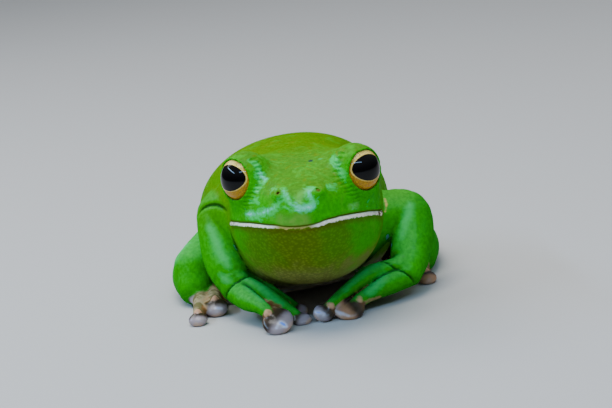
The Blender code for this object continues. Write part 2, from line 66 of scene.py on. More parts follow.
Array = np.ndarray
Rows = tuple[tuple[float, ...], ...]
Colour = tuple[float, float, float]
Socket = bpy.types.NodeSocket

MM = 0.001
BODY = "root"
FAR = 30.0

EYE_RADIUS = 5.7
EYE_CENTRE = (13.35, 1.8, 38.3)
EYE_TURNED_OUT = 44.0
EYE_TURNED_UP = 5.0
EYE_OPENING = (10.4, 9.7)
LID_MOUND = 6.45
LID_INSET = 0.35
LID_ROLL = 0.42
OPENING_DEPTH = 1.6

NOSTRIL = (4.5, -10.9, 36.9)
NOSTRIL_RADII = (0.42, 0.7, 0.34)
NOSTRIL_MOUND = (1.5, 1.8, 1.2)
NOSTRIL_TURN = 35.0
BROW = (11.2, 6.4, 36.0)
BROW_RADII = (7.9, 11.0, 6.8)
EAR_FOLD: Rows = (
    (14.6, 8, 37.2, 1.2), (16.8, 12, 35.8, 1.1), (17.7, 16, 33.6, 1.1), (17.2, 19.4, 30.6, 1),
)
MOUTH_CORNER_Y = 9.6
MOUTH_FRONT = 28.9
MOUTH_THIN_X = 1.6
MOUTH_FRONT_Y = -13.0
# How far the mouth's line is raised, at places across the straight head.
MOUTH_BENDS: Rows = (
    (-18.5, -0.5), (-15.3, -0.3), (-12.5, 0.1), (-9.8, 0.25), (-5, 0.2), (-0.3, 0.25),
    (3.3, 0.4), (6.8, 0.73), (9, 0.85), (11.5, 0.63), (13.5, 0.35), (15.7, 0),
    (18, -0.6),
)

HEAD_PIVOT = (0.0, 14.0, 30.0)
HEAD_YAW = -4.0
HEAD_ROLL = 1.8
HEAD_SHIFT = 1.6

HEAD_ROUNDNESS = 2.9
THROAT_ROUNDNESS = 2.15
BACK_ROUNDNESS = 2.15
BELLY_ROUNDNESS = 3.6
TORSO_ROLL = -5.0
TORSO_ROLL_HEIGHT = 22.0

# Cross-sections, from front to back: y, middle, half width, top, bottom and height of the widest line.
HEAD_SECTIONS: Rows = (
    (-14.3, 0, 0.4, 33, 31.6, 32.2),
    (-13.9, 0, 3.2, 35, 29.4, 30.7),
    (-13.1, 0, 5, 36.1, 27.7, 29),
    (-12, 0, 6.6, 37.2, 26, 29.3),
    (-10, 0, 8.8, 38.2, 23.2, 29.2),
    (-6, 0, 11.9, 39.2, 18.2, 28.9),
    (-2, 0, 14.3, 40, 14.2, 28.5),
    (3, 0, 16.7, 40.9, 11.2, 27.9),
    (9, 0, 18.5, 41.6, 8.9, 26.9),
    (16, 0, 18.8, 42, 7.9, 25.9),
    (23, 0, 15.5, 40.5, 10.4, 26),
)
TORSO_SECTIONS: Rows = (
    (4, 1.4, 7, 35, 20, 28),
    (8, 1.2, 12.5, 39.6, 12.6, 29),
    (14, 0.8, 15.8, 41.9, 8.2, 29),
    (20, 0, 17.8, 42.5, 5.9, 28.6),
    (27, -1, 20.6, 42.6, 3.2, 26.4),
    (34, -1.6, 23.2, 42.2, 1.4, 23.4),
    (42, -1.8, 24.8, 40.6, 0.1, 20.6),
    (50, -1.6, 23.8, 37.4, 0, 18.4),
    (58, -1.2, 20.4, 32.8, 0.8, 17),
    (65, -0.8, 14.8, 27, 2.6, 15.2),
    (70, -0.6, 8.6, 21.6, 6.4, 14.2),
    (72.6, -0.6, 0.6, 15.2, 13.4, 14.3),
)

# A limb's points are x, y, z and radius, from its root to its end.
RIGHT_ARM: Rows = (
    (-12, 19, 21, 5.2), (-17.6, 24.4, 25, 5.3), (-21, 26.6, 25.4, 5), (-21.2, 23.6, 19.6, 5),
    (-20.2, 20.2, 13.4, 5), (-18.2, 17.6, 9.2, 4.2),
)
LEFT_ARM: Rows = (
    (11, 22.4, 15.4, 6.8), (19.8, 26.8, 19.4, 6.2), (26.6, 27.4, 19.6, 5.5), (27.1, 24.6, 14.7, 5.5),
    (25.6, 20.4, 9.6, 4.9), (24, 17.6, 7.4, 4.2),
)
RIGHT_THIGH: Rows = (
    (-5, 59, 15, 8), (-16.6, 54, 13.2, 8), (-25, 45, 10.8, 6.3), (-29.4, 37.2, 10, 4.9),
)
RIGHT_SHANK: Rows = (
    (-29.6, 34.6, 4.8, 4.3), (-30.8, 43, 5.8, 4.7), (-29.8, 54, 6.4, 4.6), (-25.8, 65, 6.4, 3.6),
    (-22.6, 71.6, 5.6, 3),
)
RIGHT_TARSUS: Rows = (
    (-22.4, 72, 3.2, 2.9), (-24.4, 62, 2.5, 2.4), (-26.6, 52, 2.4, 2.4), (-27.4, 44, 2.6, 2.6),
)
LEFT_LEG_SHIFT = (-0.5, 3.6, 0.0)
LEFT_FOOT_REACH = 0.84
LEFT_FOOT_ARCH = 2.0
LEFT_FOOT_OUT = 1.8
HEEL_Y = 72.0


@dataclass(frozen=True)
class Digit:
    """A finger or toe. Its last point is the middle of its disc, whose face leans forward by the tilt."""

    points: Rows
    disc_radius: float
    tilt: float


RIGHT_FINGERS = (
    Digit(((-16.4, 18.4, 8, 2.6), (-12, 18.6, 5, 1.8), (-8.8, 18, 2.8, 1.4), (-6.6, 17.6, 1.6)), 2.1, 8),
    Digit(((-15.6, 16.6, 8.8, 3), (-9.8, 14, 6.6, 1.9), (-5.6, 12.4, 4, 1.4), (-3.3, 11.6, 1.9)), 2.3, 14),
    Digit(((-16.2, 16, 8.8, 3.3), (-11, 11.6, 6.9, 2.2), (-6.6, 8.2, 4.2, 1.5), (-2.9, 5.4, 1.3)), 2.5, 10),
    Digit(((-18.2, 16.8, 8, 3.6), (-15.6, 10.4, 6.6, 2.7), (-12.4, 5, 5.9, 1.8), (-8.7, 0.5, 3.1)), 3.9, 40),
)
LEFT_FINGERS = (
    Digit(((22.2, 19, 7.2, 2.6), (18, 19.8, 4.8, 1.8), (14.2, 19.4, 2.8, 1.4), (12, 19, 1.6)), 2.1, 8),
    Digit(((21.4, 17, 8.2, 3), (14.2, 16.2, 7.8, 1.9), (9.6, 14.4, 4.8, 1.4), (7, 12.8, 1.9)), 2.3, 14),
    Digit(((22, 16.4, 8.2, 3.3), (15.2, 13.4, 8.2, 2.3), (9, 9.6, 6.2, 1.7), (2.6, 5.2, 2.5)), 2.7, 34),
    Digit(((24.4, 17, 6.8, 3.6), (19.4, 12.6, 5.8, 2.8), (14.2, 9.4, 4.6, 1.9), (8.8, 6.2, 2.5)), 4, 27),
)
RIGHT_TOES = (
    Digit(((-25.6, 45, 2.4, 1.7), (-22.6, 41.6, 2.2, 1.3), (-20.4, 38.8, 1.3)), 1.6, 6),
    Digit(((-26.2, 44, 2.4, 1.9), (-22.6, 37, 2.3, 1.3), (-20.6, 31.2, 1.4)), 1.9, 8),
    Digit(((-26.8, 43, 2.6, 2.2), (-25, 34, 3, 2), (-24.4, 27.6, 3.2, 1.8), (-24, 21.8, 2.4)), 3, 32),
    Digit(((-27.6, 43, 2.6, 2.3), (-28, 33, 3, 1.9), (-28.4, 23, 2.8, 1.5), (-28.6, 15, 1.8)), 2.4, 22),
    Digit(((-28.2, 43.6, 2.6, 1.9), (-29.2, 37, 2.8, 1.4), (-29, 31.2, 2.6)), 1.9, 14),
)
DISC_THICKNESS = 1.3
KNUCKLE_RADIUS = 0.85
FINGER_WEB_THICKNESS = 1.1
TOE_WEB_THICKNESS = 1.7
FINGER_WEB_REACH = 0.66
TOE_WEB_REACH = 0.84
WEB_BEADS = 11
# The reach of a blend that leaves edges crisp.
CRISP = 0.1

# Strokes of wet gloss and painted sheen on the snout, brows and crown, as x, y, z and half width along each.
WET_SHEEN_STROKES: tuple[Rows, ...] = (
    (
        (-3.4, -10.1, 37.8, 0.8), (-2.9, -12.3, 36.3, 1), (-1.9, -13.5, 34.8, 1.2),
        (-0.4, -14.1, 33.8, 1.3), (1.4, -14, 33.5, 1.4), (3, -13.8, 33.6, 1.4), (3.5, -13.4, 34.8, 1.2),
        (2.6, -12.8, 36, 1.2), (2.1, -11.7, 37.2, 1), (3.5, -11.6, 37.2, 0.8),
    ),
    ((-8.8, -2.4, 40.9, 1.2), (-7.7, -3.7, 38.6, 0.9), (-9.6, -4.6, 37, 0.8)),
    ((-12.7, -3, 31, 0.9), (-9.5, -8.1, 32.1, 1.3), (-6.8, -11, 33.4, 1.1), (-4.9, -12, 34.8, 0.8)),
    ((-11.4, -4.6, 34.6, 0.7), (-9.6, -6.8, 34.8, 0.9)),
    ((-5.7, -8.4, 37.7, 0.9), (-4.9, -9.3, 37.6, 0.7)),
    ((7.6, -9, 36.6, 0.8), (9, -7.8, 36.3, 0.8)),
    ((12.4, -6.2, 30.8, 0.25), (13.2, -5.2, 30.6, 0.25)),
    ((16, -0.9, 30.8, 0.35), (15.9, -0.9, 29.8, 0.35)),
    ((9.2, -0.8, 41.7, 1), (10, -3, 40.2, 1.1), (10.7, -4.6, 38.6, 0.9), (11.6, -5, 37.2, 0.6)),
    ((-10.4, -1.1, 43.4, 0.5), (-8.9, -1.7, 42, 0.9)),
    ((5.6, 3.6, 40.9, 0.4), (7.2, 3.9, 40.9, 0.4)),
)
# Small crisp painted highlights, on the snout and on the discs.
GLINT_STROKES: tuple[Rows, ...] = (
    ((-3.2, -10.9, 37.3, 0.2), (-2.9, -12.3, 36.3, 0.45), (-1.9, -13.5, 34.8, 0.6), (-0.4, -14.1, 33.8, 0.9)),
    ((-0.4, -14.1, 33.8, 0.9), (1.4, -14, 33.5, 1), (3, -13.8, 33.6, 0.9), (3.4, -13.5, 34.6, 0.6)),
    ((3.4, -13.5, 34.6, 0.5), (2.6, -12.8, 36, 0.5), (2.3, -11.8, 37.1, 0.45), (3.4, -11.6, 37.2, 0.3)),
    ((-13, -2.4, 31.2, 0.1), (-9.9, -7.5, 32, 0.3), (-6.8, -11, 33.5, 0.4), (-5.2, -11.9, 34.6, 0.3)),
    ((-8.4, -2.2, 40.4, 0.5), (-7.4, -3.2, 38.9, 0.4)),
    ((-9.2, -1.9, 2.2, 0.2), (-8.2, -1.2, 3.2, 0.45), (-7.5, -1.4, 2.8, 0.7), (-6.8, -1.7, 2.2, 0.35)),
    ((0.4, 4.8, 3.2, 0.3), (1.5, 4.1, 2.9, 0.5), (2.6, 3.6, 2.6, 0.3)),
    ((5.6, 4.9, 2.6, 0.2), (6.9, 3.9, 2.1, 0.35), (8.5, 3.1, 1.5, 0.2)),
    ((-24.2, 20.2, 2.8, 0.3), (-22.7, 20.1, 2.6, 0.3)),
)
# Broad soft painted highlights along the arms, fingers and thigh.
GLEAM_STROKES: tuple[Rows, ...] = (
    ((-23, 20.4, 23.6, 0.5), (-22.1, 19, 21.2, 0.8), (-21.3, 17.4, 18.6, 0.9), (-20.4, 16.2, 16.4, 0.8)),
    ((-20.4, 16.2, 16.4, 0.8), (-19.4, 15.2, 14.4, 0.3)),
    ((-21.5, 15.1, 12.4, 0.2), (-20.4, 14.5, 11.4, 0.6), (-19.6, 14.2, 10.9, 0.3)),
    ((-15.6, 11.5, 9.6, 0.4), (-13.8, 9.1, 8.5, 0.6), (-12, 5.2, 7.6, 0.5)),
    ((-15.2, 13.7, 11, 0.2), (-12.9, 12.1, 9.9, 0.4), (-10.4, 9.5, 7.7, 0.4), (-7.8, 7.4, 5.4, 0.4)),
    ((27.2, 22.9, 22.3, 0.5), (26.2, 21.5, 20.2, 0.8), (25, 20.3, 17.8, 0.8), (24, 19.2, 15.6, 0.5)),
    ((18.6, 11.6, 8.5, 0.6), (17, 10.2, 7.6, 1.1), (15.6, 8.8, 6.6, 1.1), (14.2, 7.5, 5.8, 0.7)),
    ((17.3, 13.7, 10.8, 0.1), (14.1, 12, 9.9, 0.3), (11.1, 10, 8.5, 0.3), (8.4, 8.1, 6.8, 0.2)),
    ((-31.4, 40.5, 14.6, 1.6), (-33, 37, 12.2, 1.4)),
    ((1.4, -11.8, 37.4, 0.3), (0.1, -13, 36.2, 0.6), (-0.1, -13.7, 34.9, 0.5)),
    ((11.4, -7.4, 31, 0.1), (13.6, -4.9, 30.6, 0.3)),
)
# Pink, blue and cream skin that shows at the fingers, the wrists and the shoulder, and a blue painted
# highlight on the chest.
PINK_STROKES: tuple[Rows, ...] = (
    ((16.4, 9, 3.6, 0.4), (14.4, 7.4, 3.3, 0.6), (12.4, 5.6, 3.1, 0.5)),
    ((-9.4, 9.6, 4.6, 0.4), (-9.2, 6, 4.6, 0.45), (-7.4, 3.6, 4.2, 0.4)),
)
BLUE_STROKES: tuple[Rows, ...] = (
    ((-17.1, 17.8, 20.3, 0.3), (-17, 18.3, 18.6, 0.5), (-16.8, 18.7, 17, 0.35)),
    ((20.7, 21.2, 15.8, 0.35), (21.2, 21.4, 13.2, 0.45)),
    # A painted highlight on the chest.
    ((-8.6, 22.4, 5.9, 1.1), (-4.8, 23, 5.4, 1)),
)
CREAM_STROKES: tuple[Rows, ...] = (
    ((21.1, 23.7, 24.6, 0.1), (21.3, 22.4, 23.2, 0.2), (20.8, 21.3, 22, 0.1)),
)
BEAUTY_SPOT = (3.9, 3.3, 40.8)

# Creases round the arms, as a place on each, the way along the arm, depth, width, reach and bow.
ARM_CREASES = (
    ((-18, 13.9, 9.9), (0.42, -0.74, -0.53), 0.55, 0.42, 6.5, 0.02),
    ((-19.5, 14.8, 12.8), (0.3, -0.55, -0.78), 0.18, 0.5, 5.5, 0.02),
    ((-21.4, 22.3, 28.8), (-0.34, -0.53, -0.78), 0.6, 0.55, 6, -0.063),
    ((22.4, 13, 8.9), (-0.48, -0.72, -0.5), 0.55, 0.42, 6.5, 0.02),
)

# How softly each limb runs into the body at its root.
RIGHT_ARM_BLEND = 3.6
LEFT_ARM_BLEND = 2.4
FOOT_BLEND = 1.6
LEG_BLEND = 3.0
LEAST_BLEND = 0.7
GROOVE_DEPTH = 0.55
FLOOR_PRESS = 0.5
VOXEL = 0.55
FORM_BLURS = 20
# Ridges and grooves along the mouth's line and round the lids, as height, place and width.
MOUTH_RIDGES = ((0.30, 0.85, 0.55), (0.16, -0.75, 0.6), (-0.35, 0.0, 0.2))
LID_GROOVE = (-0.16, 1.75, 0.38)
# How far round a shape, a limb, an eye, a nostril and a wrist its field is worked out.
NEAR_SHAPE, NEAR_LIMB, NEAR_EYE, NEAR_NOSTRIL, NEAR_WRIST = 3.0, 5.0, 14.0, 4.0, 22.0


class Side(Enum):
    """The frog's right or left, as the sign of X."""

    RIGHT = -1
    LEFT = 1

    @property
    def label(self) -> str:
        """The side's name, as the solids' names end."""
        return self.name.lower()

    def mirrored(self, point: tuple[float, ...]) -> tuple[float, ...]:
        """A point of the left side, on this side."""
        return self.value * point[0], *point[1:3]


class Part(Enum):
    """What a piece of a limb is."""

    ARM = auto()
    LEG = auto()
    FOOT = auto()


class Mark(StrEnum):
    """A number stored at each point of the skin, for its material."""

    MOUTH_DROP = auto()
    MOUTH_BACK = auto()
    MOUTH_OUT = auto()
    THROAT = auto()
    DISC = auto()
    PAD_FRONT = auto()
    KNUCKLE = auto()
    WEB = auto()
    FINGER = auto()
    FOOT = auto()
    LID = auto()
    WRINKLE = auto()
    # Where painted shade falls in folds, creases and finger grooves.
    FOLD = auto()
    # Where the wet coat and the painted sheen lie.
    WET = auto()
    GLINT = auto()
    GLEAM = auto()
    PINK = auto()
    BLUE = auto()
    CREAM = auto()
    NOSTRIL = auto()
    SPOT = auto()
    LIMB = auto()


STROKES = {
    Mark.WET: WET_SHEEN_STROKES,
    Mark.GLINT: GLINT_STROKES,
    Mark.GLEAM: GLEAM_STROKES,
    Mark.PINK: PINK_STROKES,
    Mark.BLUE: BLUE_STROKES,
    Mark.CREAM: CREAM_STROKES,
}


@dataclass(frozen=True)
class Fineness:
    """How far round each detail of the face the mesh is finer, and whether strokes and discs are too."""

    mouth: float
    lid: float
    nostril: float
    spot: float
    strokes: bool


FINENESS = (Fineness(2.0, 1.9, 2.0, 1.8, True), Fineness(1.0, 0.8, 1.4, 1.2, False))


def smooth_step(values: Array, low: float, high: float) -> Array:
    """The values' place between low and high, eased, from 0 to 1."""
    share = np.clip((values - low) / (high - low), 0.0, 1.0)
    return share * share * (3.0 - 2.0 * share)


def ridge(values: Array, middle: float, width: float) -> Array:
    """A rounded ridge, 1 where the values are at its middle."""
    return np.exp(-(((values - middle) / width) ** 2))


def smooth_min(first: Array, second: Array, reach: Array | float) -> Array:
    """The lesser of two fields, rounded where they come within the reach of each other."""
    near = np.maximum(reach - np.abs(first - second), 0.0) / reach
    return np.minimum(first, second) - near * near * reach * 0.25


def smooth_max(first: Array, second: Array, reach: float) -> Array:
    """The greater of two fields, rounded where they come within the reach of each other."""
    return -smooth_min(-first, -second, reach)


def away(points: Array, centre: Array | tuple[float, ...]) -> Array:
    """How far each point is from a centre."""
    return np.linalg.norm(points - np.array(centre), axis=1)


def unit(way: Array | tuple[float, ...]) -> Array:
    """The way, made 1 long."""
    return np.array(way) / np.linalg.norm(way)


def turned(degrees: float, axis: str) -> Array:
    """The turn by an angle about an axis."""
    return np.array(Matrix.Rotation(math.radians(degrees), 3, axis))


def curve_rows(rows: Rows, steps: int) -> Array:
    """Rows of numbers on a smooth curve.

    Args:
        rows: The rows that the curve passes through.
        steps: Stretches between each two given rows.

    Returns:
        One row for each step, ends included.
    """
    table = np.array(rows, dtype=float)
    padded = np.vstack([table[:1], table, table[-1:]])
    found = []
    for i in range(len(table) - 1):
        p, q, r, s = padded[i : i + 4]
        for t in np.linspace(0.0, 1.0, steps, endpoint=False):
            bend = (2 * p - 5 * q + 4 * r - s) * t * t + (3 * q - p - 3 * r + s) * t**3
            found.append(0.5 * (2 * q + (r - p) * t + bend))
    return np.array([*found, table[-1]])


class Shape(Protocol):
    """Anything with a field of distances to its surface, less than 0 inside."""

    def box(self) -> tuple[Array, Array]:
        """The lowest and highest corner of the shape."""

    def distance(self, points: Array) -> Array:
        """The distance from each point to the surface."""


def unite(points: Array, shapes: Sequence[Shape], reach: float, start: Array | None = None) -> Array:
    """The united field of several shapes, each worked out only near its own box.

    Args:
        points: Where to work out the field.
        shapes: The shapes to unite.
        reach: How far apart two surfaces may be and still blend.
        start: A field to unite them with.

    Returns:
        The field at each point.
    """
    found = np.full(len(points), FAR) if start is None else start.copy()
    for shape in shapes:
        low, high = shape.box()
        near = np.all((points > low - NEAR_SHAPE) & (points < high + NEAR_SHAPE), axis=1)
        if near.any():
            found[near] = smooth_min(found[near], shape.distance(points[near]), reach)
    return found


@dataclass
class Beads:
    """A round limb: beads along a line of points, each run into the next."""

    rows: Array

    def box(self) -> tuple[Array, Array]:
        """The lowest and highest corner of the limb."""
        radii = self.rows[:, 3:4]
        return (self.rows[:, :3] - radii).min(axis=0), (self.rows[:, :3] + radii).max(axis=0)

    def distance(self, points: Array) -> Array:
        """The distance to the limb's surface.

        Args:
            points: Where to measure from.

        Returns:
            The distance at each point.
        """
        best = np.full(len(points), np.inf)
        for near, far in zip(self.rows, self.rows[1:]):
            along = far[:3] - near[:3]
            offset = points - near[:3]
            share = np.clip(offset @ along / max(along @ along, 1e-9), 0.0, 1.0)
            gap = np.linalg.norm(offset - share[:, None] * along, axis=1)
            best = np.minimum(best, gap - near[3] - share * (far[3] - near[3]))
        return best


@dataclass
class Bead:
    """An ellipsoid, its radii along the columns of its turn."""

    centre: Array
    radii: Array
    turn: Array = field(default_factory=lambda: np.eye(3))

    def box(self) -> tuple[Array, Array]:
        """The lowest and highest corner round the bead."""
        reach = max(self.radii)
        return self.centre - reach, self.centre + reach

    def local(self, points: Array) -> Array:
        """Points seen from the bead, in shares of its radii."""
        return (points - self.centre) @ self.turn / self.radii

    def distance(self, points: Array) -> Array:
        """The distance to the bead's surface, nearly.

        Args:
            points: Where to measure from.

        Returns:
            The distance at each point.
        """
        local = self.local(points)
        size = np.linalg.norm(local, axis=1)
        slope = np.linalg.norm(local / self.radii, axis=1)
        return size * (size - 1.0) / np.maximum(slope, 1e-6)


@dataclass
class Loft:
    """A trunk through cross-sections, each made of two half superellipses that meet at its widest line."""

    sections: Rows
    top_roundness: float
    bottom_roundness: float
    to_local: Callable[[Array], Array]

    def __post_init__(self) -> None:
        """Works out the sections between those given."""
        self.table = curve_rows(self.sections, 8)

    def profile(self, y: Array, column: int) -> Array:
        """A column of the sections, read at each y."""
        return np.interp(y, self.table[:, 0], self.table[:, column])

    def radial(self, x: Array, y: Array, z: Array) -> Array:
        """How far each point is from the skin along its ray from the section's middle.

        Args:
            x: How far each point is to the left.
            y: How far back.
            z: How high.

        Returns:
            The distance at each point, less than 0 inside.
        """
        widest = self.profile(y, 5)
        across = np.abs(x - self.profile(y, 1)) / self.profile(y, 2)
        up = z - widest
        above = up >= 0
        height = np.where(above, self.profile(y, 3) - widest, widest - self.profile(y, 4))
        power = np.where(above, self.top_roundness, self.bottom_roundness)
        size = (across**power + (np.abs(up) / height) ** power) ** (1.0 / power)
        reach = np.hypot(across * self.profile(y, 2), up)
        return reach - reach / np.maximum(size, 1e-6)

    def distance(self, points: Array) -> Array:
        """The distance to the trunk's surface, nearly.

        Args:
            points: Where to measure from.

        Returns:
            The distance at each point.
        """
        x, y, z = self.to_local(points).T
        step = 0.1
        here = self.radial(x, y, z)
        slope = (self.radial(x, y + step, z) - here) / step
        past = np.maximum(self.table[0, 0] - y, y - self.table[-1, 0])
        return np.maximum(here / np.sqrt(1.0 + slope * slope), past)


class HeadPose:
    """How the straight, level head is turned and moved."""

    def __init__(self) -> None:
        """Works out the turn."""
        self.turn = turned(HEAD_YAW, "Z") @ turned(HEAD_ROLL, "Y")
        self.pivot = np.array(HEAD_PIVOT)
        self.shift = np.array((HEAD_SHIFT, 0.0, 0.0))

    def place(self, points: Array | tuple[float, ...]) -> Array:
        """Points of the straight head, moved into the pose."""
        return (np.array(points) - self.pivot) @ self.turn.T + self.pivot + self.shift

    def straighten(self, points: Array) -> Array:
        """Points of the posed head, moved back to the straight one."""
        return (points - self.shift - self.pivot) @ self.turn + self.pivot


@dataclass
class EyeSeat:
    """Where one eye sits, in the posed head."""

    side: Side
    pose: HeadPose

    def __post_init__(self) -> None:
        """Works out the eye's centre, and a frame whose third axis is the way it looks."""
        out, up = math.radians(EYE_TURNED_OUT), math.radians(EYE_TURNED_UP)
        x, y, z = EYE_CENTRE
        self.centre = self.pose.place(self.side.mirrored(EYE_CENTRE))
        self.mound = self.pose.place(self.side.mirrored((x - LID_INSET, y, z)))
        look = (math.sin(out) * math.cos(up), -math.cos(out) * math.cos(up), math.sin(up))
        axis = np.array(self.side.mirrored(look))
        across = unit(np.cross((0.0, 0.0, 1.0), axis))
        self.turn = self.pose.turn @ np.column_stack([across, np.cross(axis, across), axis])
        self.half = np.array(EYE_OPENING) / 2
        self.depth = math.sqrt(EYE_RADIUS**2 - self.half[0] ** 2)

    def local(self, points: Array) -> Array:
        """Points seen from the eye: across, up and out along the way that it looks."""
        return (points - self.centre) @ self.turn

    def rim(self, points: Array) -> Array:
        """How far each point is from the edge of the eye's opening.

        Args:
            points: Where to measure from.

        Returns:
            The distance at each point.
        """
        across, up, out = self.local(points).T
        angle = np.arctan2(up / self.half[1], across / self.half[0])
        edge = np.hypot(across - self.half[0] * np.cos(angle), up - self.half[1] * np.sin(angle))
        return np.hypot(edge, out - self.depth)

    def opening(self, points: Array) -> Array:
        """The field of the oval hole in front of the eyeball.

        Args:
            points: Where to work it out.

        Returns:
            The field at each point, less than 0 in the hole.
        """
        across, up, out = self.local(points).T
        wall = (np.hypot(across / self.half[0], up / self.half[1]) - 1.0) * self.half.mean()
        return np.maximum(wall, self.depth - OPENING_DEPTH - out)


@dataclass
class Limb:
    """One piece of a limb: its flesh, its discs, its webs, and how softly it runs into the body."""

    part: Part
    rows: Rows
    blend: float
    root_row: int = 1
    beads: list[Beads] = field(default_factory=list)
    discs: list[Bead] = field(default_factory=list)
    knuckles: list[Bead] = field(default_factory=list)
    webs: list[Beads] = field(default_factory=list)
    fingers: list[Beads] = field(default_factory=list)

    def __post_init__(self) -> None:
        """Works out the limb's flesh and its root."""
        self.root = np.array(self.rows[self.root_row][:3])
        self.beads.append(Beads(curve_rows(self.rows, 5 if self.part is Part.LEG else 4)))

    def add_digits(self, digits: Sequence[Digit], web_reach: float, web_thickness: float) -> None:
        """Adds the digits of the limb's hand or foot, and the thin skin between them.

        Args:
            digits: The digits, in their order.
            web_reach: The share of the digits' length that the skin between them reaches.
            web_thickness: How thick that skin is.
        """
        for digit in digits:
            *shaft, last = digit.points
            end, radius = np.array(last, dtype=float), digit.disc_radius
            along = unit(end - np.array(shaft[-1][:3]))
            level = unit((along[0], along[1], 0.0))
            normal = turned(digit.tilt, "X")[:, 2]
            length = unit(level - normal * (level @ normal))
            turn = np.column_stack([length, np.cross(normal, length), normal])
            neck = end - along * radius * 0.4
            finger = Beads(curve_rows((*shaft, (*neck, shaft[-1][3] * 0.85)), 4))
            self.beads.append(finger)
            self.fingers.append(finger)
            self.discs.append(Bead(end, np.array((radius * 0.95, radius, DISC_THICKNESS)), turn))
            knuckle = end - length * radius * 0.75 + normal * DISC_THICKNESS * 0.75
            self.knuckles.append(Bead(knuckle, np.full(3, KNUCKLE_RADIUS)))
        thin = web_thickness / 2
        for pair in zip(digits, digits[1:]):
            paths = [curve_rows(tuple(point[:3] for point in digit.points), 8) for digit in pair]
            for i in range(1, WEB_BEADS + 1):
                share = web_reach * i / WEB_BEADS
                ends = [(*path[round(share * (len(path) - 1))], thin) for path in paths]
                self.webs.append(Beads(np.array(ends)))

    def flesh(self, points: Array) -> Array:
        """The field of the whole limb.

        Args:
            points: Where to work it out.

        Returns:
            The field at each point.
        """
        found = None
        for shapes, reach in ((self.beads, 0.9), (self.webs, 0.7), (self.discs, 0.8), (self.knuckles, 0.5)):
            found = unite(points, shapes, reach, found)
        return found + GROOVE_DEPTH * self.grooves(points)

    def grooves(self, points: Array) -> Array:
        """How near each point is to the valley between two fingers, from 0 to 1.

        Args:
            points: Where to look.

        Returns:
            The nearness at each point, 0 on a limb without a hand.
        """
        found = np.zeros(len(points))
        if self.part is Part.ARM:
            wrist = self.fingers[-1].rows[0, :3]
            near = away(points, wrist) < NEAR_WRIST
            close = points[near]
            gaps = np.sort(np.array([finger.distance(close) for finger in self.fingers[1:]]), axis=0)
            valley = ridge(gaps[1] - gaps[0], 0.0, 0.6) * ridge(np.maximum(gaps[0], 0.0), 0.0, 0.9)
            found[near] = valley * smooth_step(away(close, wrist), 2.5, 6.0)
        return found

    def softness(self, points: Array) -> Array:
        """How softly the limb runs into the body at each point: softest round its root."""
        near = 1.0 - smooth_step(away(points, self.root), 6.0, 13.0)
        return LEAST_BLEND + (self.blend - LEAST_BLEND) * near


@dataclass
class Grid:
    """A box of evenly spaced points."""

    low: Array
    high: Array
    step: float

    def __post_init__(self) -> None:
        """Counts the points each way."""
        self.counts = tuple(np.ceil((self.high - self.low) / self.step).astype(int) + 1)

    def points(self) -> Array:
        """Every point, in the order of a field's values."""
        ways = [self.low[i] + self.step * np.arange(self.counts[i]) for i in range(3)]
        return np.stack(np.meshgrid(*ways, indexing="ij"), axis=-1).reshape(-1, 3)

    def sample(self, values: Array, points: Array) -> Array:
        """A field on the grid, read between its points.

        Args:
            values: The field.
            points: Where to read it.

        Returns:
            The field at each point.
        """
        place = (points - self.low) / self.step
        cell = np.clip(place.astype(int), 0, np.array(self.counts) - 2)
        share = np.clip(place - cell, 0.0, 1.0)
        found = np.zeros(len(points))
        for corner in itertools.product((0, 1), repeat=3):
            weight = np.prod(np.where(corner, share, 1.0 - share), axis=1)
            found += weight * values[tuple((cell + corner).T)]
        return found


def blurred(values: Array, times: int) -> Array:
    """The field, softened along each axis in turn.

    Args:
        values: The field.
        times: How many times.

    Returns:
        The softened field.
    """
    for _ in range(times):
        for axis in range(3):
            wide = np.pad(values, [(int(i == axis),) * 2 for i in range(3)], mode="edge")
            count = values.shape[axis]
            low, high = (np.take(wide, range(first, first + count), axis) for first in (0, 2))
            values = 0.25 * low + 0.5 * values + 0.25 * high
    return values


def surface_of(grid: Grid, values: Array) -> tuple[Array, Array]:
    """Points and quads of the surface where the field is 0, one point in each cell that it crosses.

    Args:
        grid: The grid that holds the field.
        values: The field, less than 0 inside.

    Returns:
        The points, and the four point numbers of each quad.
    """
    inside = values < 0
    corners = list(itertools.product((0, 1), repeat=3))
    blocks = (tuple(slice(o, n - 1 + o) for n, o in zip(grid.counts, corner)) for corner in corners)
    total = sum(inside[block].astype(np.int8) for block in blocks)
    cells = np.argwhere((total > 0) & (total < 8))
    number = np.full(total.shape, -1)
    number[tuple(cells.T)] = np.arange(len(cells))
    place, hits = np.zeros((len(cells), 3)), np.zeros(len(cells))
    for first, second in itertools.combinations(corners, 2):
        if sum(abs(a - b) for a, b in zip(first, second)) == 1:
            near, far = (values[tuple((cells + corner).T)] for corner in (first, second))
            crossing = (near < 0) != (far < 0)
            share = (near / np.where(crossing, near - far, 1.0))[crossing, None]
            place[crossing] += np.array(first) + share * (np.array(second) - np.array(first))
            hits[crossing] += 1
    quads = []
    for axis in range(3):
        side, up = (axis + 1) % 3, (axis + 2) % 3
        low, high = (np.take(inside, range(o, values.shape[axis] - 1 + o), axis) for o in (0, 1))
        at = np.argwhere(low != high)
        for other in (side, up):
            at = at[(at[:, other] > 0) & (at[:, other] < values.shape[other] - 1)]
        ways = np.eye(3, dtype=int)
        loop = [at - ways[side] - ways[up], at - ways[up], at, at - ways[side]]
        quad = np.stack([number[tuple(c.T)] for c in loop], axis=1)
        quads.append(np.where(low[tuple(at.T)][:, None], quad, quad[:, ::-1]))
    return grid.low + grid.step * (cells + place / hits[:, None]), np.vstack(quads)


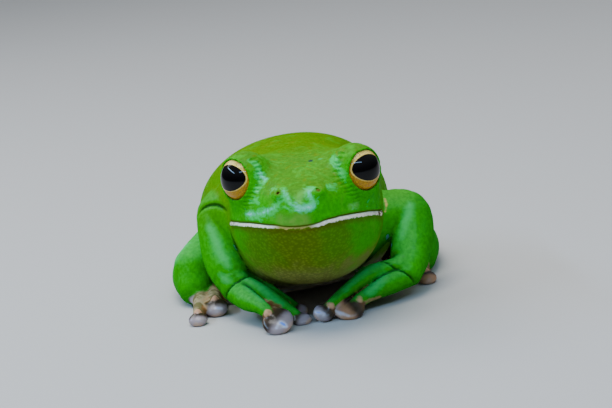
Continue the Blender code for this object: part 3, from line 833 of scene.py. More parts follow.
def leg_rows(rows: Rows, side: Side, folded: bool = False) -> Rows:
    """Points of the right leg, on the given side.

    Args:
        rows: Points of the right leg, as x, y, z and perhaps a radius.
        side: The side that they are wanted on.
        folded: Whether they belong to the foot, which is drawn back and turned out on the left.

    Returns:
        The points on that side.
    """
    if side is Side.RIGHT:
        return rows
    found = []
    for x, y, z, *radius in rows:
        if folded:
            reach = HEEL_Y - y
            share = min(1.0, reach / (HEEL_Y - RIGHT_TOES[3].points[-1][1]))
            x -= LEFT_FOOT_OUT * share
            z += LEFT_FOOT_ARCH * math.sin(math.pi * share)
            y = HEEL_Y - reach * LEFT_FOOT_REACH
        moved = np.array((-x, y, z)) + LEFT_LEG_SHIFT
        found.append((*moved, *radius))
    return tuple(found)


class Flesh:
    """The whole skin as one field of distances, and what is marked on it."""

    def __init__(self) -> None:
        """Sets out the trunk, the eyes' seats and the limbs."""
        self.pose = HeadPose()
        self.seats = [EyeSeat(side, self.pose) for side in Side]
        self.skull = Loft(HEAD_SECTIONS, HEAD_ROUNDNESS, THROAT_ROUNDNESS, self.pose.straighten)
        self.body = Loft(TORSO_SECTIONS, BACK_ROUNDNESS, BELLY_ROUNDNESS, self._unroll)
        self.brows = [self._bead(side, BROW, BROW_RADII) for side in Side]
        self.nostrils = [self._nostril(side) for side in Side]
        self.details = [shape for seat in self.seats for shape in self._face_details(seat)]
        self.arms = self._arms()
        self.legs = [limb for side in Side for limb in self._leg(side)]
        self.limbs = self.arms + self.legs
        self.discs = [disc for limb in self.limbs for disc in limb.discs]
        self.knuckles = [knuckle for limb in self.limbs for knuckle in limb.knuckles]
        self.webs = [web for limb in self.limbs for web in limb.webs]
        self.grid = Grid(np.array((-39.0, -18.0, -1.5)), np.array((38.0, 78.5, 47.5)), VOXEL)
        self.form = blurred(self._hard_form(self.grid.points()).reshape(self.grid.counts), FORM_BLURS)

    @staticmethod
    def _unroll(points: Array) -> Array:
        """Points of the torso, with its roll taken away."""
        middle = np.array((0.0, 0.0, TORSO_ROLL_HEIGHT))
        return (points - middle) @ turned(TORSO_ROLL, "Y") + middle

    def _bead(self, side: Side, place: tuple[float, ...], radii: tuple[float, ...]) -> Bead:
        """A bead of the left side of the straight head, on the given side of the posed one."""
        return Bead(self.pose.place(side.mirrored(place)), np.array(radii), self.pose.turn)

    def _nostril(self, side: Side) -> Bead:
        """The hollow of one nostril, turned out.

        Args:
            side: The nostril's side.

        Returns:
            The hollow.
        """
        x, y, z = NOSTRIL
        hollow = self._bead(side, (x, y - 0.3, z), NOSTRIL_RADII)
        hollow.turn = hollow.turn @ turned(side.value * NOSTRIL_TURN, "Z")
        return hollow

    def _face_details(self, seat: EyeSeat) -> list[Shape]:
        """The eye's mound, the nostril's mound and the fold over the ear, on one side.

        Args:
            seat: The eye's seat on that side.

        Returns:
            The shapes.
        """
        x, y, z = NOSTRIL
        mound = self.pose.place(seat.side.mirrored((x, y + 0.5, z - 0.6)))
        fold = tuple((*self.pose.place(seat.side.mirrored(row)), row[3]) for row in EAR_FOLD)
        return [
            Bead(seat.mound, np.full(3, LID_MOUND)),
            Bead(mound, np.array(NOSTRIL_MOUND)),
            Beads(curve_rows(fold, 5)),
        ]

    @staticmethod
    def _arms() -> list[Limb]:
        """Both arms with their hands.

        Returns:
            The right one and the left one.
        """
        right = Limb(Part.ARM, RIGHT_ARM, RIGHT_ARM_BLEND)
        left = Limb(Part.ARM, LEFT_ARM, LEFT_ARM_BLEND)
        for arm, fingers in ((right, RIGHT_FINGERS), (left, LEFT_FINGERS)):
            arm.add_digits(fingers, FINGER_WEB_REACH, FINGER_WEB_THICKNESS)
        return [right, left]

    @staticmethod
    def _leg(side: Side) -> list[Limb]:
        """Thigh, shank and foot of one side.

        Args:
            side: The side.

        Returns:
            The three pieces.
        """
        toes = [Digit(leg_rows(toe.points, side, True), toe.disc_radius, toe.tilt) for toe in RIGHT_TOES]
        foot = Limb(Part.FOOT, leg_rows(RIGHT_TARSUS, side, True), FOOT_BLEND, 0)
        foot.add_digits(toes, TOE_WEB_REACH, TOE_WEB_THICKNESS)
        thigh = Limb(Part.LEG, leg_rows(RIGHT_THIGH, side), LEG_BLEND)
        return [thigh, Limb(Part.LEG, leg_rows(RIGHT_SHANK, side), LEG_BLEND, 0), foot]

    def _hard_form(self, points: Array) -> Array:
        """The field of the trunk before it is softened."""
        return np.min([shape.distance(points) for shape in (self.skull, self.body, *self.brows)], axis=0)

    def face(self, points: Array) -> tuple[Array, Array, Array]:
        """Where each point is from the mouth's line, on the straight head.

        Args:
            points: Where to look.

        Returns:
            How far below the line, how far back and how far out each point is.
        """
        x, y, z = self.pose.straighten(points).T
        table = self.skull.table
        line = np.interp(y, table[:, 0], np.where(table[:, 0] < MOUTH_FRONT_Y, MOUTH_FRONT, table[:, 5]))
        return line + np.interp(x, *np.array(MOUTH_BENDS).T) - z, y, np.abs(x + MOUTH_THIN_X)

    def trunk(self, points: Array) -> Array:
        """The field of the trunk with the details of the face.

        Args:
            points: Where to work it out.

        Returns:
            The field at each point.
        """
        found = unite(points, self.details, 1.3, self.grid.sample(self.form, points))
        drop, back, _ = self.face(points)
        lips = 1.0 - smooth_step(back, MOUTH_CORNER_Y - 1.0, MOUTH_CORNER_Y + 1.0)
        for height, place, width in MOUTH_RIDGES:
            found = found - lips * height * ridge(drop, place, width)
        height, place, width = LID_GROOVE
        for seat in self.seats:
            rim = seat.rim(points)
            found = smooth_min(found, rim - LID_ROLL, 0.5) - height * ridge(rim, place, width)
        return found

    def field(self, points: Array) -> Array:
        """The field of the whole skin.

        Args:
            points: Where to work it out.

        Returns:
            The field at each point, less than 0 inside.
        """
        found = self.trunk(points)
        for limb in self.limbs:
            lows, highs = zip(*(shape.box() for shape in (*limb.beads, *limb.discs)))
            low, high = np.min(lows, axis=0) - NEAR_LIMB, np.max(highs, axis=0) + NEAR_LIMB
            near = np.all((points > low) & (points < high), axis=1)
            if near.any():
                close = points[near]
                flesh = limb.flesh(close) + (self.creases(close) if limb.part is Part.ARM else 0.0)
                found[near] = smooth_min(found[near], flesh, limb.softness(close))
        for seat in self.seats:
            near = away(points, seat.centre) < NEAR_EYE
            found[near] = smooth_max(found[near], -seat.opening(points[near]), 0.45)
        for hollow in self.nostrils:
            near = away(points, hollow.centre) < NEAR_NOSTRIL
            found[near] = smooth_max(found[near], -hollow.distance(points[near]), 0.3)
        return smooth_max(found, FLOOR_PRESS - points[:, 2], 0.3)

    @staticmethod
    def creases(points: Array) -> Array:
        """How deep the creases of both arms are.

        Args:
            points: Where to look.

        Returns:
            The depth at each point.
        """
        found = np.zeros(len(points))
        for place, along, depth, width, reach, bow in ARM_CREASES:
            offset = points - np.array(place)
            across = offset @ unit(along) + bow * (offset**2).sum(axis=1)
            near = np.exp(-((np.linalg.norm(offset, axis=1) / reach) ** 4))
            found += near * depth * ridge(across, 0.0, width)
        return found

    def wants_detail(self, points: Array, level: Fineness) -> Array:
        """Which points lie where the mesh is made finer.

        Args:
            points: The mesh's points.
            level: How far round each detail it is made finer.

        Returns:
            Whether each point does.
        """
        drop, back, _ = self.face(points)
        trunk = np.abs(self.grid.sample(self.form, points)) < 1.6
        fine = trunk & (np.abs(drop - 0.4) < level.mouth) & (back < MOUTH_CORNER_Y + 1.5)
        for seat in self.seats:
            fine |= seat.rim(points) < level.lid
        for hollow in self.nostrils:
            fine |= away(points, hollow.centre) < level.nostril
        fine |= away(points, BEAUTY_SPOT) < level.spot
        if level.strokes:
            fine |= self._strokes(points, GLINT_STROKES + CREAM_STROKES) < 0.5
            for arm in self.arms:
                fine |= unite(points, arm.discs[1:], CRISP) < 0.8
        return fine

    def marks(self, points: Array) -> dict[Mark, Array]:
        """The numbers that the skin's material reads.

        Args:
            points: The skin's points.

        Returns:
            For each mark, a number at each point.
        """
        drop, back, out = self.face(points)
        trunk = self.trunk(points)
        flesh = [limb.flesh(points) for limb in self.limbs]
        nearest = np.min(flesh, axis=0)
        on_trunk = trunk < nearest
        first, second = np.sort(np.array([trunk, *flesh]), axis=0)[:2]
        feet = np.min([f for f, limb in zip(flesh, self.limbs) if limb.part is Part.FOOT], axis=0)
        others = [f for f, limb in zip(flesh, self.limbs) if limb.part is not Part.FOOT]
        hips = np.min([away(points, limb.root) for limb in self.legs], axis=0)
        shoulders = np.min([away(points, limb.root) for limb in self.arms], axis=0)
        # How near a point is to where two parts meet, for the painted shade there.
        fold = np.exp((first - second) / 0.6) * smooth_step(hips, 5.5, 8.5) * smooth_step(shoulders, 6.5, 9.5)
        throat = smooth_step(drop, -0.2, 0.7) * (1.0 - smooth_step(back, 12.0, 22.0))
        grooves = [arm.grooves(points) for arm in self.arms]
        fingers = [finger for arm in self.arms for finger in arm.fingers]
        return {
            Mark.MOUTH_DROP: np.where(on_trunk, drop, 99.0),
            Mark.MOUTH_BACK: back,
            Mark.MOUTH_OUT: out,
            Mark.THROAT: np.where(on_trunk, throat, 0.0),
            Mark.DISC: unite(points, self.discs, CRISP),
            Mark.PAD_FRONT: self._pad_front(points),
            Mark.KNUCKLE: unite(points, self.knuckles, CRISP),
            Mark.WEB: unite(points, self.webs, CRISP),
            Mark.FINGER: unite(points, fingers, CRISP),
            Mark.FOOT: smooth_step(np.min([trunk, *others], axis=0) - feet, -0.3, 0.6),
            Mark.LID: np.min([seat.rim(points) for seat in self.seats], axis=0),
            Mark.WRINKLE: self._wrinkles(points) * on_trunk,
            Mark.FOLD: np.max([fold, self.creases(points) / 0.5, *grooves], axis=0),
            Mark.NOSTRIL: np.min([hollow.distance(points) for hollow in self.nostrils], axis=0),
            Mark.SPOT: away(points, BEAUTY_SPOT),
            Mark.LIMB: smooth_step(trunk - nearest, -1.0, 1.0),
            **{mark: self._strokes(points, strokes) for mark, strokes in STROKES.items()},
        }

    def _pad_front(self, points: Array) -> Array:
        """Where each point lies along the nearest disc.

        Args:
            points: Where to look.

        Returns:
            A number at each point, from -1 at the disc's base to 1 at its front edge.
        """
        found, best = np.full(len(points), -1.0), np.full(len(points), FAR)
        for disc in self.discs:
            local = disc.local(points)
            size = np.linalg.norm(local, axis=1)
            nearer = size < best
            found[nearer] = local[nearer, 0]
            best[nearer] = size[nearer]
        return found

    def _wrinkles(self, points: Array) -> Array:
        """How wrinkled the skin is, between each eye and the snout's middle.

        Args:
            points: Where to look.

        Returns:
            A number at each point, from 0 to 1.
        """
        found = np.zeros(len(points))
        for seat in self.seats:
            inward = -seat.side.value * seat.local(points)[:, 0]
            rim = seat.rim(points)
            near = (1.0 - smooth_step(rim, 2.0, 5.0)) * smooth_step(rim, 0.9, 1.8)
            found = np.maximum(found, near * smooth_step(inward, 1.0, 4.0))
        return found

    @staticmethod
    def _strokes(points: Array, strokes: tuple[Rows, ...]) -> Array:
        """How far each point is from the edge of the nearest stroke, less than 0 on it."""
        return unite(points, [Beads(curve_rows(rows, 4)) for rows in strokes], 0.4)


@dataclass(frozen=True)
class SkinFinish:
    """The colours of the skin, and how glossy it is."""

    back: Colour = (0.074, 0.2, 0.0004)
    crown: Colour = (0.062, 0.24, 0.012)
    flank: Colour = (0.056, 0.245, 0.0005)
    ochre: Colour = (0.15, 0.2, 0.003)
    lip_green: Colour = (0.22, 0.4, 0.06)
    side: Colour = (0.012, 0.36, 0.001)
    shaded: Colour = (0.008, 0.19, 0.002)
    bright: Colour = (0.06, 0.4, 0.02)
    limb: Colour = (0.012, 0.32, 0.001)
    # Painted sheen on the limbs' upper sides.
    limb_top_sheen: Colour = (0.03, 0.36, 0.04)
    # Painted sheen and painted highlights, standing in for reflections on the wet skin.
    sheen_teal: Colour = (0.0, 0.62, 0.11)
    pale: Colour = (0.05, 0.8, 0.24)
    glint: Colour = (0.52, 0.98, 0.9)
    glint_edge: Colour = (0.06, 0.64, 0.36)
    gleam: Colour = (0.04, 0.56, 0.13)
    soft_light: Colour = (0.17, 0.52, 0.09)
    throat: Colour = (0.105, 0.198, 0.003)
    throat_side: Colour = (0.068, 0.24, 0.002)
    throat_low: Colour = (0.16, 0.18, 0.04)
    # Painted shade at the bottom of the throat.
    throat_end_shade: Colour = (0.07, 0.062, 0.015)
    belly: Colour = (0.48, 0.43, 0.3)
    lip: Colour = (0.97, 0.93, 0.74)
    lip_thin: Colour = (0.48, 0.38, 0.1)
    # The brown of the mouth's line and specks, and the painted shade under the lip.
    lip_brown_and_shade: Colour = (0.09, 0.05, 0.01)
    pad: Colour = (0.04, 0.026, 0.015)
    pad_front: Colour = (0.3, 0.25, 0.265)
    pad_brown: Colour = (0.4, 0.2, 0.095)
    pad_rim: Colour = (0.48, 0.3, 0.2)
    # Painted highlights on the discs.
    pad_glint: Colour = (0.11, 0.28, 0.82)
    pad_glint_edge: Colour = (0.6, 0.6, 0.68)
    nostril: Colour = (0.15, 0.08, 0.015)
    web: Colour = (0.2, 0.095, 0.03)
    web_pale: Colour = (0.4, 0.26, 0.12)
    knuckle: Colour = (0.64, 0.33, 0.19)
    foot: Colour = (0.15, 0.115, 0.05)
    foot_pale: Colour = (0.34, 0.27, 0.15)
    cream: Colour = (0.64, 0.45, 0.13)
    blue: Colour = (0.1, 0.26, 0.36)
    spot: Colour = (0.022, 0.015, 0.045)
    # Painted shade in folds, creases and finger grooves.
    crease_shade: Colour = (0.003, 0.022, 0.001)
    roughness: float = 0.44
    wet_roughness: float = 0.20
    specular: float = 0.0
    coat_roughness: float = 0.21
    relief: float = 0.7
    glow: float = 0.10
    glow_radius: Colour = (0.4, 1.0, 0.25)
    glow_scale: float = 0.0012


@dataclass(frozen=True)
class EyeFinish:
    """The colours of an eye, and the size of its pupil as half its width and height."""

    gold: Colour = (0.6, 0.3, 0.002)
    pale_gold: Colour = (0.95, 0.7, 0.16)
    vein: Colour = (0.15, 0.05, 0.006)
    pupil: Colour = (0.0008, 0.0008, 0.001)
    rim: Colour = (0.012, 0.007, 0.003)
    pupil_half: tuple[float, float] = (4.45, 3.15)
    pupil_up: float = 0.65
    pupil_power: float = 1.9
    pupil_roughness: float = 0.08
    gold_roughness: float = 0.35
    coat: float = 0.8
    coat_ior: float = 1.33
    coat_roughness: float = 0.02


@dataclass(frozen=True)
class Value:
    """A number that nodes work out at each point, for plain arithmetic."""

    wires: "Wires"
    socket: Socket

    def step(self, operation: str, *numbers: "Value | float") -> "Value":
        """One step of arithmetic on the numbers."""
        return self.wires.number("Math", dict(enumerate(numbers)), operation=operation)

    def __add__(self, other: "Value | float") -> "Value":
        """The sum."""
        return self.step("ADD", self, other)

    def __sub__(self, other: "Value | float") -> "Value":
        """The difference."""
        return self.step("SUBTRACT", self, other)

    def __rsub__(self, other: float) -> "Value":
        """A number less this one."""
        return self.step("SUBTRACT", other, self)

    def __mul__(self, other: "Value | float") -> "Value":
        """The product."""
        return self.step("MULTIPLY", self, other)

    def __truediv__(self, other: float) -> "Value":
        """The quotient."""
        return self.step("DIVIDE", self, other)

    def __pow__(self, other: float) -> "Value":
        """The power."""
        return self.step("POWER", self, other)

    def __or__(self, other: "Value") -> "Value":
        """The greater of two masks."""
        return self.step("MAXIMUM", self, other)

    def __abs__(self) -> "Value":
        """The number without its sign."""
        return self.step("ABSOLUTE", self)

    def ramp(self, low: float, high: float, to_low: float, to_high: float) -> "Value":
        """The number's place between low and high, eased, from to_low to to_high."""
        ends = {"From Min": low, "From Max": high, "To Min": to_low, "To Max": to_high}
        return self.wires.number("MapRange", {"Value": self, **ends}, interpolation_type="SMOOTHSTEP")

    def rise(self, low: float, high: float, most: float = 1.0) -> "Value":
        """A mask that rises from 0 at low to the most at high."""
        return self.ramp(low, high, 0.0, most)

    def fade(self, low: float, high: float, most: float = 1.0) -> "Value":
        """A mask that falls from the most at low to 0 at high."""
        return self.ramp(low, high, most, 0.0)


class Wires:
    """The nodes of one material, world or group."""

    def __init__(self, tree: bpy.types.NodeTree, place: Socket | None = None) -> None:
        """Works in a node tree, whose textures read the given place or the object's own coordinates."""
        self.tree = tree
        self.given = place

    @property
    def place(self) -> bpy.types.NodeSocket:
        """Where each point is, as given or else in the object's own coordinates."""
        self.given = self.given or self.node("TexCoord").outputs["Object"]
        return self.given

    def put(self, socket: Socket, value: object) -> None:
        """Links a socket from another one, or sets its number or colour.

        Args:
            socket: The socket.
            value: What goes into it.
        """
        value = value.socket if isinstance(value, Value) else value
        if isinstance(value, Socket):
            self.tree.links.new(value, socket)
        else:
            socket.default_value = (*value, 1.0) if socket.type == "RGBA" else value

    def node(self, kind: str, inputs: dict | None = None, **settings: object) -> bpy.types.Node:
        """A new shader node.

        Args:
            kind: Its type.
            inputs: What goes into its sockets, by their names or numbers.
            settings: Its other settings.

        Returns:
            The node.
        """
        made = self.tree.nodes.new(f"ShaderNode{kind}")
        for name, value in settings.items():
            setattr(made, name, value)
        for name, value in (inputs or {}).items():
            self.put(made.inputs[name], value)
        return made

    def number(self, kind: str, inputs: dict, output: int | str = 0, **settings: object) -> Value:
        """The number that a new node gives."""
        return Value(self, self.node(kind, inputs, **settings).outputs[output])

    def split(self, vector: object) -> list[Value]:
        """The three numbers of a vector."""
        return [Value(self, socket) for socket in self.node("SeparateXYZ", {0: vector}).outputs]

    def mix(self, factor: object, first: object, second: object) -> Socket:
        """A colour between two colours."""
        return self.node("Mix", {0: factor, 6: first, 7: second}, data_type="RGBA").outputs[2]

    def between(self, factor: object, first: object, second: object) -> Value:
        """A number between two numbers."""
        return self.number("Mix", {0: factor, 2: first, 3: second}, data_type="FLOAT")

    def scaled(self, colour: object, amount: Value) -> Socket:
        """The colour made lighter or darker."""
        return self.node("VectorMath", {0: colour, "Scale": amount}, operation="SCALE").outputs[0]

    def noise(self, scale: float, detail: float = 2.0, warp: float = 0.0, place: object = None) -> Value:
        """Smooth noise with about this many features to a metre."""
        inputs = {"Vector": place or self.place, "Scale": scale, "Detail": detail, "Distortion": warp}
        return self.number("TexNoise", inputs, "Fac")

    def cells(self, scale: float, feature: str = "F1") -> Value:
        """How far each point is from the nearest of scattered seeds, or from the edge of its cell."""
        return self.number("TexVoronoi", {"Vector": self.place, "Scale": scale}, "Distance", feature=feature)

    def waves(self) -> Value:
        """Level wavy lines, from 0 to 1."""
        inputs = {"Vector": self.place, "Scale": 330.0, "Distortion": 3.0, "Detail": 2.0, "Detail Scale": 1.2}
        return self.number("TexWave", inputs, "Fac", wave_type="BANDS", bands_direction="Z")

    def mark(self, mark: Mark) -> Value:
        """A number stored on the mesh."""
        return self.number("Attribute", {}, "Fac", attribute_name=mark.value)

    def bump(self, height: Value, strength: float, distance: float) -> Socket:
        """The skin's direction, bent by a height."""
        return self.node("Bump", {"Strength": strength, "Distance": distance, "Height": height}).outputs[0]

    def dress(self, shader: bpy.types.Node, inputs: dict[str, object]) -> None:
        """Puts values into a shader's sockets, by their names."""
        for name, value in inputs.items():
            self.put(shader.inputs[name], value)


def new_material(name: str) -> tuple[bpy.types.Material, bpy.types.Node, Wires]:
    """A new material.

    Args:
        name: Its name.

    Returns:
        The material, its Principled shader and its nodes.
    """
    material = bpy.data.materials.new(name)
    material.use_nodes = True
    return material, material.node_tree.nodes["Principled BSDF"], Wires(material.node_tree)


def pores_group() -> bpy.types.NodeTree:
    """A group that gives the fine grain of frog skin: its height, and a slow mottling.

    Returns:
        The group.
    """
    group = bpy.data.node_groups.new("frog_skin_grain", "ShaderNodeTree")
    for name, way, kind in (
        ("Vector", "INPUT", "Vector"),
        ("Granules", "INPUT", "Float"),
        ("Height", "OUTPUT", "Float"),
        ("Mottle", "OUTPUT", "Float"),
    ):
        group.interface.new_socket(name, in_out=way, socket_type=f"NodeSocket{kind}")
    given, result = group.nodes.new("NodeGroupInput"), group.nodes.new("NodeGroupOutput")
    wires = Wires(group, given.outputs["Vector"])
    beads = wires.cells(1500.0).fade(0.0, 0.75) * Value(wires, given.outputs["Granules"])
    height = beads + wires.noise(2600.0, 3.0) * 0.22 + wires.noise(420.0, 3.0, 0.6) * 0.55
    wires.dress(result, {"Height": height, "Mottle": wires.noise(150.0, 4.0, 0.8)})
    return group


@dataclass
class SkinMaterial:
    """The frog's moist skin, with its markings, painted shade and painted highlights drawn from the marks on
    the mesh.
    """

    finish: SkinFinish = SkinFinish()

    def __post_init__(self) -> None:
        """Starts the material, and works out what several of its layers read."""
        self.material, self.shader, self.wires = new_material("frog_skin")
        wires = self.wires
        self.x, self.y, self.z = (way / MM for way in wires.split(wires.place))
        self.throat, self.on_limb, self.disc = (wires.mark(m) for m in (Mark.THROAT, Mark.LIMB, Mark.DISC))
        self.drop, self.out, self.back = (
            wires.mark(m) for m in (Mark.MOUTH_DROP, Mark.MOUTH_OUT, Mark.MOUTH_BACK)
        )
        self.lines = wires.waves() * wires.mark(Mark.WRINKLE)
        inputs = {"Vector": wires.place, "Granules": self.throat.ramp(0.0, 1.0, 0.45, 1.0)}
        grain = wires.node("Group", node_tree=pores_group())
        wires.dress(grain, inputs)
        self.grain, self.mottle = (Value(wires, grain.outputs[name]) for name in ("Height", "Mottle"))
        drawn = wires.node("Mapping", {"Vector": wires.place, "Scale": (1.0, 1.0, 1.7)}).outputs[0]
        self.ragged = (wires.noise(420.0, 4.0, 1.2, drawn) - 0.5) * 4.6
        streaks = (wires.noise(1500.0, 2.0, 0.0, drawn) - 0.5) * 1.1
        # Where the wet coat and the painted sheen lie, from the wet strokes.
        self.wet_sheen_edge = wires.mark(Mark.WET) + self.ragged + streaks
        self.wet_coat_and_sheen = self.wet_sheen_edge.fade(-0.9, 0.5)

    def make(self) -> bpy.types.Material:
        """Lays one layer of colour over another, and adds the gloss and the relief.

        Returns:
            The material.
        """
        colour = self._ground()
        for layer in (
            self._throat,
            self._sheen,
            self._creases,
            self._limbs,
            self._mouth,
            self._small_marks,
            self._glints,
        ):
            colour = layer(colour)
        relief = self.wires.bump(self.grain * 0.10 - self.lines * 0.16, self.finish.relief, MM)
        self.wires.dress(self.shader, {"Base Color": colour, "Normal": relief})
        self._gloss()
        return self.material

    def _ground(self) -> Socket:
        """The greens of the trunk and limbs, with painted sheen on the limbs' upper sides and painted shade
        low down, underneath and on the left arm's outer side, and the cream belly.

        Returns:
            The colour.
        """
        wires, look, mottle = self.wires, self.finish, self.mottle
        up = wires.split(wires.node("NewGeometry").outputs["Normal"])[2]
        lift = up + (mottle - 0.5) * 0.9
        side = wires.mix(self.y.rise(-29.0, -19.0), look.side, look.flank)
        crown = wires.mix(wires.noise(300.0, 4.0, 1.0).rise(0.5, 0.62, 0.6), look.crown, look.bright)
        top = wires.mix(self.y.fade(-27.0, -14.0, 0.9), look.back, crown)
        trunk = wires.mix(lift.rise(0.15, 0.95), side, top)
        trunk = wires.mix(mottle.rise(0.54, 0.72, 0.5), trunk, look.bright)
        specks = wires.noise(620.0, 4.0, 1.0).rise(0.55, 0.68, 0.5)
        trunk = wires.mix(specks * lift.rise(0.2, 0.8), trunk, look.ochre)
        # Painted sheen on the limbs' upper sides.
        limb = wires.mix(lift.rise(0.1, 0.9), look.limb, look.limb_top_sheen)
        limb = wires.mix(self.z.rise(19.0, 26.0, 0.6), limb, look.flank)
        # Painted shade on the limbs low down, underneath, and on the left arm's outer side.
        painted_shade = self.z.fade(2.0, 8.0, 0.6) | self.x.rise(26.5, 31.0, 0.65) | lift.fade(-0.55, 0.0, 0.8)
        colour = wires.mix(self.on_limb, trunk, wires.mix(painted_shade, limb, look.shaded))
        colour = wires.scaled(colour, wires.noise(1100.0, 3.0, 0.4).ramp(0.3, 0.7, 0.86, 1.14))
        below = (up * -1.0 - mottle * 0.3).rise(0.25, 0.75) * self.z.fade(7.0, 14.0)
        return wires.mix(below * (1.0 - self.on_limb), colour, look.belly)

    def _throat(self, colour: Socket) -> Socket:
        """The olive throat: greener at its sides, brown and grey low down, darkened at its bottom by painted
        shade, and woven with fine granules.

        Args:
            colour: The colour so far.

        Returns:
            The colour with the throat.
        """
        wires, look = self.wires, self.finish
        slow = (wires.noise(170.0, 3.0, 0.8) - 0.5) * 8.0
        out, height = self.out + slow, self.z + slow
        chin = wires.mix(out.rise(2.5, 9.5), look.throat, look.throat_side)
        chin = wires.mix(height.fade(11.0, 22.0, 0.9), chin, look.throat_low)
        # Painted shade at the bottom of the throat and on the chest.
        chin = wires.mix(height.fade(8.0, 13.5, 0.85), chin, look.throat_end_shade)
        chin = wires.scaled(chin, wires.cells(1300.0).ramp(0.1, 0.65, 1.18, 0.78))
        left = self.x.rise(6.0, 14.0) * height.fade(14.0, 21.0, 0.9)
        chin = wires.mix(left, chin, look.throat_low)
        return wires.mix(self.throat * (out.ramp(10.0, 16.5, 1.0, 0.2) | left), colour, chin)

    def _sheen(self, colour: Socket) -> Socket:
        """Ragged painted sheen on the wet snout and brows, blue-green with paler hearts, and soft painted
        highlights on the limbs.

        Args:
            colour: The colour so far.

        Returns:
            The colour with the strokes.
        """
        wires, look = self.wires, self.finish
        # Painted sheen standing in for reflections on the wet skin, with paler painted hearts.
        colour = wires.mix(self.wet_coat_and_sheen * 0.85, colour, look.sheen_teal)
        colour = wires.mix(self.wet_sheen_edge.fade(-2.7, -1.3, 0.7), colour, look.pale)
        # Soft painted highlights on the limbs and on the snout.
        soft = wires.mark(Mark.GLEAM) + self.ragged * 0.35
        light = wires.mix(self.on_limb, look.soft_light, look.gleam)
        return wires.mix(soft.fade(-1.0, 1.3, 0.72), colour, light)

    def _glints(self, colour: Socket) -> Socket:
        """Small crisp painted highlights: nearly white on the snout, bluer on the discs.

        Args:
            colour: The colour so far.

        Returns:
            The colour with the lights.
        """
        wires, look = self.wires, self.finish
        broken = (wires.noise(560.0, 5.0, 1.4) - 0.48) * 2.2
        on_disc = self.disc.fade(0.3, 1.0)
        edge = wires.mark(Mark.GLINT) + wires.between(on_disc, broken, broken * 0.15)
        # Painted highlights: white with greener edges on the snout, blue with pale edges on the discs.
        glint = wires.mix(edge.fade(-0.9, -0.2), look.glint_edge, look.glint)
        pad = wires.mix(edge.fade(-0.45, -0.1), look.pad_glint_edge, look.pad_glint)
        return wires.mix(edge.fade(-0.4, 0.4, 0.9), colour, wires.mix(on_disc, glint, pad))

    def _creases(self, colour: Socket) -> Socket:
        """Painted shade in the folds, creases and finger grooves, the blue and cream patches that show deep
        in two of them, and a blue painted highlight on the chest.

        Args:
            colour: The colour so far.

        Returns:
            The colour with the folds.
        """
        wires, look = self.wires, self.finish
        ragged = (wires.noise(700.0, 3.0, 0.6) - 0.5) * 1.2
        # Painted shade where limbs meet the body, in the arms' creases and in the grooves between the
        # fingers.
        colour = wires.mix(wires.mark(Mark.FOLD).rise(0.3, 1.0, 0.85), colour, look.crease_shade)
        # Blue patches, the one on the chest a painted highlight.
        colour = wires.mix((wires.mark(Mark.BLUE) + ragged).fade(-0.3, 0.4, 0.9), colour, look.blue)
        return wires.mix((wires.mark(Mark.CREAM) + ragged).fade(-0.2, 0.35, 0.95), colour, look.cream)

    def _limbs(self, colour: Socket) -> Socket:
        """Tan webs, brown feet, pads that are dark on top and pale in front, and pink knuckles.

        Args:
            colour: The colour so far.

        Returns:
            The colour with the hands and feet.
        """
        wires, look = self.wires, self.finish
        rough = (wires.noise(800.0, 3.0) - 0.5) * 1.3
        slow = wires.noise(420.0, 3.0, 0.5)
        toes = wires.mix(slow.rise(0.42, 0.6), look.foot, look.foot_pale)
        colour = wires.mix(wires.mark(Mark.FOOT) * 0.95, colour, toes)
        skin = wires.mix(slow.rise(0.4, 0.62), look.web, look.web_pale)
        off_finger = (wires.mark(Mark.FINGER) + rough).rise(-0.1, 0.35)
        colour = wires.mix((wires.mark(Mark.WEB) + rough).fade(0.1, 0.6) * off_finger, colour, skin)
        colour = wires.mix((wires.mark(Mark.PINK) + rough).fade(-0.3, 0.5, 0.85), colour, look.web_pale)
        front = wires.mark(Mark.PAD_FRONT) + rough * 0.18
        face = wires.mix(self.x.ramp(4.0, 8.0, 0.1, 0.95), look.pad_front, look.pad_brown)
        pad = wires.mix(front.rise(-0.2, 0.4), look.pad, face)
        pad = wires.mix(front.rise(0.72, 0.98, 0.75), pad, look.pad_rim)
        pad = wires.mix(front.fade(-0.95, -0.35, 0.6), pad, look.web)
        colour = wires.mix((self.disc + rough * 0.4).fade(0.25, 0.8), colour, pad)
        knuckle = (wires.mark(Mark.KNUCKLE) + rough * 0.5).fade(0.0, 0.45, 0.9)
        return wires.mix(knuckle, colour, look.knuckle)

    def _mouth(self, colour: Socket) -> Socket:
        """The brown line of the mouth over a white lip with a ragged lower edge, and painted shade under the
        lip.

        Args:
            colour: The colour so far.

        Returns:
            The colour with the mouth.
        """
        wires, look, drop, out, back = self.wires, self.finish, self.drop, self.out, self.back
        ragged = drop + (wires.noise(1400.0, 2.0, 0.3) - 0.5)
        full = self.x.ramp(-2.0, 4.0, 0.80, 0.98) + back.rise(4.5, 8.5, 0.35)
        below = ragged - wires.between(out.rise(3.0, 7.0), 0.58, full)
        ahead = back.fade(MOUTH_CORNER_Y - 0.4, MOUTH_CORNER_Y + 0.6)
        white = below.fade(-0.12, 0.14) * drop.rise(0.08, 0.26) * ahead
        pale = wires.mix(out.rise(3.0, 6.0), look.lip_thin, look.lip)
        broken = wires.noise(1500.0, 2.0).rise(0.42, 0.56) * back.ramp(1.5, 6.0, 0.16, 0.95)
        pale = wires.mix(broken, pale, look.lip_brown_and_shade)
        slow = wires.noise(360.0, 4.0, 0.8).ramp(0.35, 0.65, 0.45, 1.0)
        band = drop.rise(-4.6, -1.2, 0.9) * out.fade(1.5, 5.5) * slow * drop.fade(-0.2, 0.1)
        colour = wires.mix(white, wires.mix(band, colour, look.lip_green), pale)
